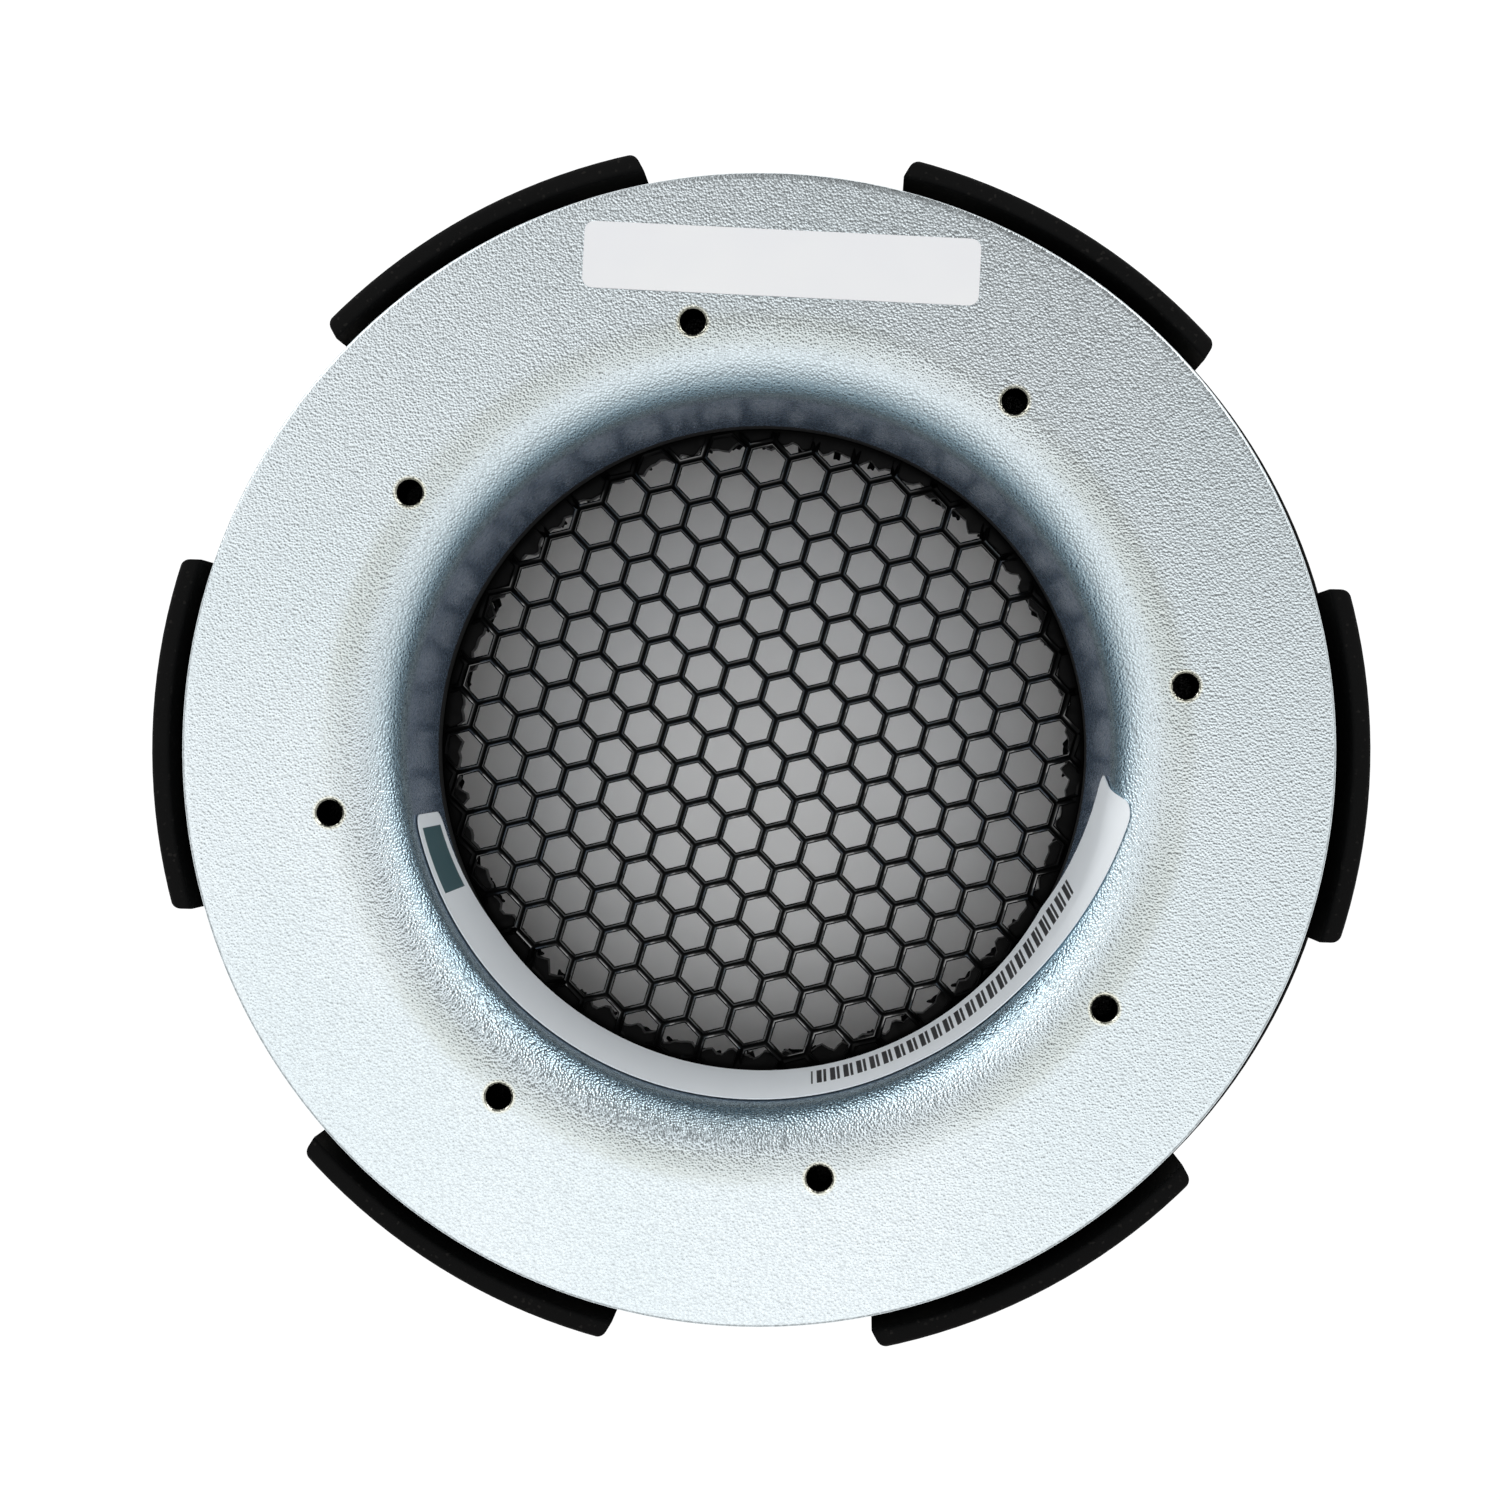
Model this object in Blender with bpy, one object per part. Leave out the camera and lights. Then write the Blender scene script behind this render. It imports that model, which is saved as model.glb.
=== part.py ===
"""A round midrange loudspeaker driver with an inverted ceramic dome.

It lies on its front ring, as on a bench. Lengths are in metres, +Z points to the rear of the
driver, and the origin is the centre of the front face.
"""

import math

import bmesh
import bpy
from mathutils import Matrix, Vector

# Clearances shared by all pieces
FIT_GAP = 0.0003  # between rigid pieces that rest on each other
GLUE_GAP = 0.0001  # a film of glue
HOLE_GAP = 0.00015  # a hole round the screw or rivet in it

# Facets round a full turn
LARGE_STEPS = 48
INNER_STEPS = 36
MAGNET_STEPS = 12
SCREW_STEPS = 10

# Rear yoke: plate, bell mouth and hollow pole in one piece
YOKE_RADIUS = 0.0560  # all other radii follow this one
YOKE_THICKNESS = 0.0080
YOKE_EDGE = 0.0005
YOKE_LAND = 0.0152  # flat ring from the rim to the bell mouth
MOUTH_DEPTH = 0.0040  # half axis of the bell mouth's ellipse along Z
MOUTH_STEPS = 5
THROAT_TAPER = math.tan(math.radians(6.3))
TAPER_MARGIN = 0.0013  # from the end of the taper to the mesh
POLE_WALL = 0.0039
POLE_LEAD = 0.0015  # how far the pole stands out of the front plate

# Tapped holes in the rear face
TAP_COUNT = 8
TAP_RADIUS = 0.00125
TAP_CHAMFER = 0.0004
TAP_MARGIN = 0.0012  # from the edge of the bell mouth to the hole circle
TAP_START = math.radians(10.0)
TAP_STEPS = 10

# Front plate and magnets
FRONT_PLATE_THICKNESS = 0.0060
FRONT_PLATE_GAP = 0.0004  # to the fingers of the cage
MAGNET_COUNT = 16
MAGNET_RADIUS = 0.0065
MAGNET_HEIGHT = 0.0110
MAGNET_INSET = 0.0005  # from the rim of the yoke

# Voice coil and its former
FORMER_GAP = 0.0006
FORMER_WALL = 0.0003
FORMER_TAIL = 0.0006
COIL_BUILD = 0.0007
COIL_LENGTH = 0.0100
COIL_GAP = 0.0006

# Dome
DOME_WALL = 0.0007
DOME_DEPTH = 0.0095
BRIM_WIDTH = 0.0023
BRIM_OVERLAP = 0.0009  # how far the brim stands out over the former
DOME_STEPS = 4

# Surround and its clamp ring
SURROUND_WALL = 0.0006
SURROUND_FOOT = 0.0002  # from the brim to the foot of the roll
SURROUND_LIP = 0.0021  # how far the inner lip covers the brim
ROLL_RADIUS = 0.0031
ROLL_STEPS = 4
SURROUND_RING_HEIGHT = 0.0020
SURROUND_RING_INSET = 0.0005

# Spider and the spacer that it is glued to
SPIDER_WALL = 0.0005
SPIDER_HEIGHT = 0.0012  # of one corrugation above the middle plane
SPIDER_WAVE_COUNT = 2
SPIDER_COLLAR = 0.0015
SPIDER_RING_WALL = 0.0032
SPIDER_RING_HEIGHT = 0.0050

# Chassis: front ring with six fingers
FINGER_COUNT = 6
FINGER_GAP = 0.0022  # from the rim of the yoke to the fingers
FINGER_WALL = 0.0019
FINGER_SETBACK = 0.0050  # from the rear face to the ends of the fingers
FINGER_CORNER = 0.0012
CORNER_STEPS = 3
RIM_OVERHANG = 0.0024
RIM_THICKNESS = 0.0030
RIM_EDGE = 0.0008
RING_HEIGHT = 0.0075
RING_GAP = 0.0003  # from the roll of the surround to the ring
SEAT_WIDTH = 0.0060  # seat of the surround, behind the ring
WINDOW_HEIGHT = 0.0132
WINDOW_WIDTH = 0.0195  # between two fingers, at the inside of the cage

# Screws from the front ring into the front plate
SCREW_RADIUS = 0.0015
SCREW_SHORT = 0.0017  # from the screw's end to the rear of the front plate
SCREW_HEAD_RADIUS = 0.0029
SCREW_HEAD_LAND = 0.0003
SCREW_SINK = 0.0003
SCREW_INSET = 0.0030  # from the seat to the screw circle
SCREW_MARGIN = 0.0033  # from the screw circle to the rim of the front plate
SOCKET_RADIUS = 0.0012
SOCKET_DEPTH = 0.0011

# Rear mesh cup in the throat
NET_THICKNESS = 0.0008
NET_START = math.radians(-15.2)
REAR_NET_PITCH = 0.00440
REAR_NET_STRAND = 0.00070
REAR_NET_DEPTH = 0.0200  # from the rear face
REAR_NET_RIM = 0.0036
REAR_NET_BORDER = 0.0008

# Front mesh and the ring that holds it
FRONT_NET_PITCH = 0.0096
FRONT_NET_STRAND = 0.0014
GRILLE_LEDGE = 0.0030
GRILLE_SEAT_DEPTH = 0.0027
GRILLE_RING_HEIGHT = 0.0010

# Terminal strip in one window of the cage
TERMINAL_ANGLE = math.radians(270.0)
BOARD_GAP = 0.0007
BOARD_THICKNESS = 0.0016
BLADE_THICKNESS = 0.0008
BLADE_HEIGHT = 0.0090
BLADE_INSET = 0.0017  # from the outside of the cage
BLADE_EDGE = 0.0016  # from the end of the board
BLADE_FOOT_INSET = 0.0004
BLADE_HOLE_RADIUS = 0.0007
PLUS_WIDTH = 0.0048
MINUS_WIDTH = 0.0028
RIVET_RADIUS = 0.0008
RIVET_HEAD_RADIUS = 0.0013
RIVET_HEAD_HEIGHT = 0.0006
BOARD_SCREW_RADIUS = 0.0011
BOARD_SCREW_HEAD_RADIUS = 0.0018
BOARD_SCREW_HEAD_HEIGHT = 0.0013
BOARD_SCREW_DEPTH = 0.0040
LEAD_RADIUS = 0.00045
LEAD_CLEAR = 0.0010  # to the corrugations of the spider
LEAD_STEPS = 10

# Labels
LABEL_THICKNESS = 0.00012
LABEL_GAP = 0.00015
PLATE_LABEL_LENGTH = 0.0385
PLATE_LABEL_WIDTH = 0.0065
PLATE_LABEL_CORNER = 0.0010
PLATE_LABEL_MARGIN = 0.0052  # from the hole circle to the middle of the label
PLATE_LABEL_ANGLE = math.radians(88.6)
THROAT_LABEL_DROP = 0.0016  # from the end of the bell mouth
THROAT_LABEL_WIDTH = 0.0136
THROAT_LABEL_START = math.radians(191.6)
THROAT_LABEL_TURN = math.radians(163.5)
THROAT_LABEL_STEPS = 26

# Radii, from the cage inwards and then through the motor
CAGE_BORE = YOKE_RADIUS + FINGER_GAP
CAGE_RADIUS = CAGE_BORE + FINGER_WALL
RIM_RADIUS = CAGE_RADIUS + RIM_OVERHANG
FRONT_PLATE_RADIUS = CAGE_BORE - FRONT_PLATE_GAP
SCREW_CIRCLE = FRONT_PLATE_RADIUS - SCREW_MARGIN
POST_BORE = SCREW_CIRCLE - SCREW_INSET
SEATED_RADIUS = POST_BORE - FIT_GAP
RING_BORE = POST_BORE - SEAT_WIDTH
GRILLE_SEAT_RADIUS = RING_BORE + GRILLE_LEDGE
GRILLE_RADIUS = GRILLE_SEAT_RADIUS - FIT_GAP
ROLL_OUTSIDE = RING_BORE - RING_GAP
ROLL_MIDDLE = ROLL_OUTSIDE - ROLL_RADIUS
DOME_RADIUS = ROLL_MIDDLE - ROLL_RADIUS - SURROUND_FOOT
CAP_RADIUS = DOME_RADIUS - BRIM_WIDTH
FORMER_RADIUS = DOME_RADIUS - BRIM_OVERLAP
FORMER_BORE = FORMER_RADIUS - FORMER_WALL
POLE_RADIUS = FORMER_BORE - FORMER_GAP
THROAT_RADIUS = POLE_RADIUS - POLE_WALL
COIL_BORE = FORMER_RADIUS + GLUE_GAP
COIL_RADIUS = COIL_BORE + COIL_BUILD
FRONT_PLATE_BORE = COIL_RADIUS + COIL_GAP
MAGNET_CIRCLE = YOKE_RADIUS - MAGNET_INSET - MAGNET_RADIUS
MOUTH_RADIUS = YOKE_RADIUS - YOKE_LAND
TAP_CIRCLE = MOUTH_RADIUS + TAP_MARGIN

# The bell mouth's half axis towards the centre, so that it runs smoothly into the taper
TAPER_DEPTH = REAR_NET_DEPTH - TAPER_MARGIN
MOUTH_REACH = math.sqrt(
    (MOUTH_RADIUS - THROAT_RADIUS - THROAT_TAPER * (TAPER_DEPTH - MOUTH_DEPTH)) ** 2
    - (THROAT_TAPER * MOUTH_DEPTH) ** 2
)

# Heights, from the front face to the rear
SURROUND_Z = RING_HEIGHT + GLUE_GAP
SURROUND_RING_Z = SURROUND_Z + SURROUND_WALL + GLUE_GAP
BRIM_Z = SURROUND_Z + SURROUND_WALL + GLUE_GAP
FORMER_Z = BRIM_Z + DOME_WALL + GLUE_GAP
POST_Z = RING_HEIGHT + WINDOW_HEIGHT
FRONT_PLATE_Z = POST_Z + FIT_GAP
SPIDER_RING_Z = FRONT_PLATE_Z - GLUE_GAP - SPIDER_RING_HEIGHT
SPIDER_Z = SPIDER_RING_Z - GLUE_GAP - SPIDER_WALL
LEAD_Z = SPIDER_Z - SPIDER_HEIGHT - LEAD_CLEAR - LEAD_RADIUS
POLE_Z = FRONT_PLATE_Z - POLE_LEAD
COIL_Z = FRONT_PLATE_Z + (FRONT_PLATE_THICKNESS - COIL_LENGTH) / 2
SCREW_END = FRONT_PLATE_Z + FRONT_PLATE_THICKNESS - SCREW_SHORT
MAGNET_Z = FRONT_PLATE_Z + FRONT_PLATE_THICKNESS + FIT_GAP
YOKE_Z = MAGNET_Z + MAGNET_HEIGHT + FIT_GAP
REAR_Z = YOKE_Z + YOKE_THICKNESS
FINGER_Z = REAR_Z - FINGER_SETBACK
REAR_NET_Z = REAR_Z - REAR_NET_DEPTH - NET_THICKNESS
FRONT_NET_Z = GRILLE_SEAT_DEPTH - FIT_GAP - NET_THICKNESS
GRILLE_RING_Z = FRONT_NET_Z - FIT_GAP - GRILLE_RING_HEIGHT
BOARD_Z = RING_HEIGHT + FIT_GAP
FOOT_Z = BOARD_Z + BOARD_THICKNESS + GLUE_GAP

# Fingers with parallel sides, as wide as the windows leave them
FINGER_TURN = 2 * math.pi / FINGER_COUNT
WINDOW_APEX = POST_BORE - WINDOW_WIDTH / 2 / math.tan(FINGER_TURN / 2)
FINGER_WIDTH = 2 * WINDOW_APEX * math.sin(FINGER_TURN / 2)

# The terminal strip, in its own frame with X along the middle of the window
BOARD_START = POST_BORE + BOARD_GAP
BOARD_END = CAGE_RADIUS - BOARD_GAP
BOARD_HALF = (BOARD_START - WINDOW_APEX) * math.tan(FINGER_TURN / 2) - BOARD_GAP
BLADE_END = CAGE_RADIUS - BLADE_INSET
FOOT_START = BOARD_START + BLADE_FOOT_INSET
RIVET_X = (FOOT_START + BLADE_END - BLADE_THICKNESS) / 2
PLUS_Y = BOARD_HALF - BLADE_EDGE - PLUS_WIDTH / 2
MINUS_Y = -(BOARD_HALF - BLADE_EDGE - MINUS_WIDTH / 2)
BOARD_SCREW_Y = (PLUS_Y - PLUS_WIDTH / 2 + MINUS_Y + MINUS_WIDTH / 2) / 2
TERMINAL_TURN = Matrix.Rotation(TERMINAL_ANGLE, 4, "Z")

CUT_OVER = 0.0010  # how far a cutter runs past the face that it cuts


# Materials

def material(name, colour, roughness, metallic):
    made = bpy.data.materials.new(name)
    made.use_nodes = True
    shader = made.node_tree.nodes["Principled BSDF"]
    shader.inputs["Base Color"].default_value = (*colour, 1.0)
    shader.inputs["Roughness"].default_value = roughness
    shader.inputs["Metallic"].default_value = metallic
    made.diffuse_color = (*colour, 1.0)
    return made


def make_materials():
    return {
        "zinc": material("zinc_plated_steel", (0.66, 0.70, 0.72), 0.42, 1.0),
        "black": material("black_powder_coat", (0.012, 0.012, 0.013), 0.65, 0.0),
        "net": material("coated_black_mesh", (0.010, 0.010, 0.011), 0.35, 0.0),
        "ceramic": material("pale_ceramic", (0.55, 0.56, 0.56), 0.40, 0.0),
        "nickel": material("nickel_plate", (0.72, 0.70, 0.66), 0.20, 1.0),
        "titanium": material("titanium", (0.45, 0.44, 0.42), 0.35, 1.0),
        "copper": material("enamelled_copper", (0.60, 0.26, 0.12), 0.35, 1.0),
        "rubber": material("black_rubber", (0.014, 0.014, 0.015), 0.70, 0.0),
        "cloth": material("resin_cloth", (0.42, 0.30, 0.12), 0.85, 0.0),
        "resin": material("dark_resin", (0.020, 0.018, 0.016), 0.55, 0.0),
        "brass": material("tinned_brass", (0.70, 0.62, 0.42), 0.30, 1.0),
        "steel": material("blackened_steel", (0.030, 0.030, 0.032), 0.40, 0.6),
        "paper": material("white_paper", (0.80, 0.80, 0.81), 0.55, 0.0),
    }


# Modelling helpers

def turned(outline, steps, closed=True):
    """The solid that an outline of (radius, height) points sweeps round Z."""
    bm = bmesh.new()
    points = [bm.verts.new((radius, 0.0, height)) for radius, height in outline]
    pairs = list(zip(points, points[1:]))
    if closed:
        pairs.append((points[-1], points[0]))
    edges = [bm.edges.new(pair) for pair in pairs]
    bmesh.ops.spin(
        bm,
        geom=points + edges,
        cent=(0, 0, 0),
        axis=(0, 0, 1),
        angle=2 * math.pi,
        steps=steps,
        use_merge=True,
    )
    bmesh.ops.remove_doubles(bm, verts=bm.verts, dist=1e-7)
    bmesh.ops.recalc_face_normals(bm, faces=bm.faces)
    return bm


def tube(bore, radius, bottom, top, steps):
    return turned([(bore, top), (bore, bottom), (radius, bottom), (radius, top)], steps)


def rod(radius, bottom, top, steps):
    return turned([(0, bottom), (radius, bottom), (radius, top), (0, top)], steps, closed=False)


def prism(outline, bottom, top):
    """The solid between two heights over an outline of (x, y) points."""
    bm = bmesh.new()
    face = bm.faces.new([bm.verts.new((x, y, bottom)) for x, y in outline])
    made = bmesh.ops.extrude_face_region(bm, geom=[face])
    raised = [v for v in made["geom"] if isinstance(v, bmesh.types.BMVert)]
    bmesh.ops.translate(bm, verts=raised, vec=(0, 0, top - bottom))
    bmesh.ops.recalc_face_normals(bm, faces=bm.faces)
    return bm


def box(low, high):
    return prism(
        [(low[0], low[1]), (high[0], low[1]), (high[0], high[1]), (low[0], high[1])],
        low[2],
        high[2],
    )


def copies(bm, places):
    """One mesh with a copy of the solid at each place."""
    pattern = bpy.data.meshes.new("pattern")
    bm.to_mesh(pattern)
    bm.free()
    made = bmesh.new()
    for place in places:
        before = len(made.verts)
        made.from_mesh(pattern)
        made.verts.ensure_lookup_table()
        bmesh.ops.transform(made, matrix=place, verts=made.verts[before:])
    bpy.data.meshes.remove(pattern)
    return made


def joined(*solids):
    """One mesh that holds several solids, for a cutter."""
    made = bmesh.new()
    for solid in solids:
        part = bpy.data.meshes.new("part")
        solid.to_mesh(part)
        solid.free()
        made.from_mesh(part)
        bpy.data.meshes.remove(part)
    return made


def round_z(count, start, radius):
    """Places on a circle round Z, each with its X axis pointing outwards."""
    turns = [start + index * 2 * math.pi / count for index in range(count)]
    return [
        Matrix.Rotation(turn, 4, "Z") @ Matrix.Translation((radius, 0, 0)) for turn in turns
    ]


def piece(name, bm, finish, parent, place=None):
    """A named object from a mesh, smooth where it is round."""
    mesh = bpy.data.meshes.new(name)
    bm.to_mesh(mesh)
    bm.free()
    mesh.shade_smooth()
    mesh.set_sharp_from_angle(angle=math.radians(35))
    mesh.materials.append(finish)
    obj = bpy.data.objects.new(name, mesh)
    bpy.context.collection.objects.link(obj)
    obj.parent = parent
    if place is not None:
        obj.matrix_local = place
    return obj


def cut(obj, bm, name):
    """Takes a hidden solid away from an object."""
    mesh = bpy.data.meshes.new(name)
    bm.to_mesh(mesh)
    bm.free()
    cutter = bpy.data.objects.new(name, mesh)
    bpy.context.collection.objects.link(cutter)
    cutter.parent = obj
    cutter.hide_render = True
    cutter.display_type = "WIRE"
    modifier = obj.modifiers.new(name, "BOOLEAN")
    modifier.operation = "DIFFERENCE"
    modifier.solver = "EXACT"
    modifier.object = cutter
    return cutter


def empty(name, height):
    obj = bpy.data.objects.new(name, None)
    bpy.context.collection.objects.link(obj)
    obj.location = (0, 0, height)
    return obj


# Motor

def mouth_end():
    """The angle on the bell mouth's ellipse where the taper of the throat takes over."""
    return math.atan2(MOUTH_REACH, THROAT_TAPER * MOUTH_DEPTH)


def mouth_point(angle):
    radius = MOUTH_RADIUS - MOUTH_REACH * math.sin(angle)
    return radius, REAR_Z - MOUTH_DEPTH * (1 - math.cos(angle))


def throat_wall(drop):
    """A point on the tapered wall, this far in front of the end of the bell mouth."""
    radius, height = mouth_point(mouth_end())
    return radius - THROAT_TAPER * drop, height - drop


def make_rear_yoke(finish, parent):
    mouth = [mouth_point(mouth_end() * index / MOUTH_STEPS) for index in range(MOUTH_STEPS + 1)]
    outline = [
        (YOKE_RADIUS - YOKE_EDGE, REAR_Z),
        (YOKE_RADIUS, REAR_Z - YOKE_EDGE),
        (YOKE_RADIUS, YOKE_Z + YOKE_EDGE),
        (YOKE_RADIUS - YOKE_EDGE, YOKE_Z),
        (POLE_RADIUS, YOKE_Z),
        (POLE_RADIUS, POLE_Z),
        (THROAT_RADIUS, POLE_Z),
        (THROAT_RADIUS, REAR_Z - TAPER_DEPTH),
    ]
    yoke = piece("rear_yoke", turned(outline + mouth[::-1], LARGE_STEPS), finish, parent)
    hole = [
        (0, REAR_Z + TAP_CHAMFER),
        (TAP_RADIUS + 2 * TAP_CHAMFER, REAR_Z + TAP_CHAMFER),
        (TAP_RADIUS, REAR_Z - TAP_CHAMFER),
        (TAP_RADIUS, YOKE_Z - CUT_OVER),
        (0, YOKE_Z - CUT_OVER),
    ]
    holes = copies(
        turned(hole, TAP_STEPS, closed=False), round_z(TAP_COUNT, TAP_START, TAP_CIRCLE)
    )
    cut(yoke, holes, "tapped_holes")


def screw_places():
    return round_z(FINGER_COUNT, 0.0, SCREW_CIRCLE)


def make_front_plate(finish, parent):
    top = FRONT_PLATE_Z + FRONT_PLATE_THICKNESS
    solid = tube(FRONT_PLATE_BORE, FRONT_PLATE_RADIUS, FRONT_PLATE_Z, top, LARGE_STEPS)
    plate = piece("front_plate", solid, finish, parent)
    hole = rod(SCREW_RADIUS + HOLE_GAP, FRONT_PLATE_Z - CUT_OVER, top + CUT_OVER, SCREW_STEPS)
    cut(plate, copies(hole, screw_places()), "front_plate_holes")


def make_magnets(finish, parent):
    for index, place in enumerate(round_z(MAGNET_COUNT, 0.0, MAGNET_CIRCLE)):
        disc = rod(MAGNET_RADIUS, MAGNET_Z, MAGNET_Z + MAGNET_HEIGHT, MAGNET_STEPS)
        piece(f"magnet_{index + 1:02d}", disc, finish, parent, place)


# Chassis

def window_outline():
    """The gap between two fingers, with X along its middle and the fingers' corners rounded."""
    half_width = FINGER_WIDTH / 2
    half_turn = FINGER_TURN / 2
    inner = CAGE_RADIUS - FINGER_CORNER
    centre = Vector((math.sqrt(inner**2 - (half_width - FINGER_CORNER) ** 2), FINGER_CORNER - half_width))
    start = -math.pi / 2
    end = math.atan2(centre.y, centre.x)
    side = []
    for index in range(CORNER_STEPS + 1):
        angle = start + (end - start) * index / CORNER_STEPS
        side.append(centre + FINGER_CORNER * Vector((math.cos(angle), math.sin(angle))))
    side.append(centre.normalized() * (RIM_RADIUS + CUT_OVER))
    turn = Matrix.Rotation(half_turn, 2)
    side = [turn @ point for point in side]
    return [(WINDOW_APEX, 0.0)] + [(p.x, -p.y) for p in side] + [(p.x, p.y) for p in side[::-1]]


def make_chassis(finish, parent):
    outline = [
        (GRILLE_SEAT_RADIUS, 0),
        (RIM_RADIUS - RIM_EDGE, 0),
        (RIM_RADIUS, RIM_EDGE),
        (RIM_RADIUS, RIM_THICKNESS),
        (CAGE_RADIUS, RIM_THICKNESS),
        (CAGE_RADIUS, FINGER_Z),
        (CAGE_BORE, FINGER_Z),
        (CAGE_BORE, POST_Z),
        (POST_BORE, POST_Z),
        (POST_BORE, RING_HEIGHT),
        (RING_BORE, RING_HEIGHT),
        (RING_BORE, GRILLE_SEAT_DEPTH),
        (GRILLE_SEAT_RADIUS, GRILLE_SEAT_DEPTH),
    ]
    chassis = piece("chassis", turned(outline, LARGE_STEPS), finish, parent)
    windows = copies(
        prism(window_outline(), RING_HEIGHT, FINGER_Z + CUT_OVER),
        round_z(FINGER_COUNT, FINGER_TURN / 2, 0.0),
    )
    cut(chassis, windows, "windows")
    head = SCREW_HEAD_RADIUS + HOLE_GAP
    shank = SCREW_RADIUS + HOLE_GAP
    land = SCREW_SINK + SCREW_HEAD_LAND + HOLE_GAP
    hole = [
        (0, -CUT_OVER),
        (head, -CUT_OVER),
        (head, land),
        (shank, land + head - shank),
        (shank, POST_Z + CUT_OVER),
        (0, POST_Z + CUT_OVER),
    ]
    cut(chassis, copies(turned(hole, SCREW_STEPS, closed=False), screw_places()), "screw_holes")
    board_hole = rod(
        BOARD_SCREW_RADIUS + HOLE_GAP,
        RING_HEIGHT - BOARD_SCREW_DEPTH - FIT_GAP,
        RING_HEIGHT + CUT_OVER,
        SCREW_STEPS,
    )
    place = TERMINAL_TURN @ Matrix.Translation((RIVET_X, BOARD_SCREW_Y, 0))
    cut(chassis, copies(board_hole, [place]), "board_screw_hole")


def make_chassis_screws(finish, parent):
    cone_end = SCREW_SINK + SCREW_HEAD_LAND + SCREW_HEAD_RADIUS - SCREW_RADIUS
    outline = [
        (0, SCREW_SINK),
        (SCREW_HEAD_RADIUS, SCREW_SINK),
        (SCREW_HEAD_RADIUS, SCREW_SINK + SCREW_HEAD_LAND),
        (SCREW_RADIUS, cone_end),
        (SCREW_RADIUS, SCREW_END),
        (0, SCREW_END),
    ]
    for index, place in enumerate(screw_places()):
        solid = turned(outline, SCREW_STEPS, closed=False)
        screw = piece(f"chassis_screw_{index + 1}", solid, finish, parent, place)
        socket = rod(SOCKET_RADIUS, SCREW_SINK - CUT_OVER, SCREW_SINK + SOCKET_DEPTH, 6)
        cut(screw, socket, f"socket_{index + 1}")


# Mesh grilles

def net_cells(pitch, reach):
    """Centres of the cells of a hexagonal net that lie within a circle."""
    first = Vector((math.cos(NET_START), math.sin(NET_START))) * pitch
    second = Matrix.Rotation(math.radians(60), 2) @ first
    most = int(2 * reach / pitch) + 1
    cells = []
    for i in range(-most, most + 1):
        for j in range(-most, most + 1):
            centre = i * first + j * second
            if centre.length < reach:
                cells.append(centre)
    return cells


def open_net(disc, name, pitch, strand, reach, bottom):
    """Cuts the cells of a net into a disc, kept inside a border."""
    corner = (pitch - strand) / math.sqrt(3)
    cell = rod(corner, bottom - CUT_OVER, bottom + NET_THICKNESS + CUT_OVER, 6)
    spin = Matrix.Rotation(NET_START + math.radians(30), 4, "Z")
    places = [
        Matrix.Translation((centre.x, centre.y, 0)) @ spin for centre in net_cells(pitch, reach)
    ]
    cells = cut(disc, copies(cell, places), name + "_cells")
    low = bottom - 2 * CUT_OVER
    high = bottom + NET_THICKNESS + 2 * CUT_OVER
    border = cut(cells, rod(reach, low, high, LARGE_STEPS), name + "_border")
    cells.modifiers[border.name].operation = "INTERSECT"


def make_rear_grille(finish, parent):
    radius = THROAT_RADIUS - FIT_GAP
    reach = radius - REAR_NET_BORDER
    top = REAR_NET_Z + NET_THICKNESS
    outline = [
        (0, top),
        (radius, top),
        (radius, top - REAR_NET_RIM),
        (reach, top - REAR_NET_RIM),
        (reach, REAR_NET_Z),
        (0, REAR_NET_Z),
    ]
    cup = piece("rear_grille", turned(outline, LARGE_STEPS, closed=False), finish, parent)
    open_reach = reach - FIT_GAP
    open_net(cup, "rear_net", REAR_NET_PITCH, REAR_NET_STRAND, open_reach, REAR_NET_Z)


def make_front_grille(net_finish, ring_finish, parent):
    disc = rod(GRILLE_RADIUS, FRONT_NET_Z, FRONT_NET_Z + NET_THICKNESS, LARGE_STEPS)
    grille = piece("front_grille", disc, net_finish, parent)
    open_net(grille, "front_net", FRONT_NET_PITCH, FRONT_NET_STRAND, RING_BORE, FRONT_NET_Z)
    bore = RING_BORE + FIT_GAP
    top = GRILLE_RING_Z + GRILLE_RING_HEIGHT
    ring = tube(bore, GRILLE_RADIUS, GRILLE_RING_Z, top, INNER_STEPS)
    piece("grille_ring", ring, ring_finish, parent)


# Diaphragm

def make_dome(finish, parent):
    ball = (CAP_RADIUS**2 + DOME_DEPTH**2) / (2 * DOME_DEPTH)
    apex = BRIM_Z + DOME_DEPTH
    front = []
    for index in range(DOME_STEPS + 1):
        radius = CAP_RADIUS * index / DOME_STEPS
        front.append((radius, apex - ball + math.sqrt(ball**2 - radius**2)))
    rear = [(radius, height + DOME_WALL) for radius, height in front]
    brim = [(DOME_RADIUS, BRIM_Z), (DOME_RADIUS, BRIM_Z + DOME_WALL)]
    outline = [(r, z - BRIM_Z) for r, z in front + brim + rear[::-1]]
    piece("dome", turned(outline, INNER_STEPS, closed=False), finish, parent)


def make_former_and_coil(former_finish, coil_finish, parent):
    former_end = COIL_Z + COIL_LENGTH + FORMER_TAIL
    former = tube(FORMER_BORE, FORMER_RADIUS, FORMER_Z - BRIM_Z, former_end - BRIM_Z, INNER_STEPS)
    piece("coil_former", former, former_finish, parent)
    coil_start = COIL_Z - BRIM_Z
    coil = tube(COIL_BORE, COIL_RADIUS, coil_start, coil_start + COIL_LENGTH, INNER_STEPS)
    piece("voice_coil", coil, coil_finish, parent)


# Suspension

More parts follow.
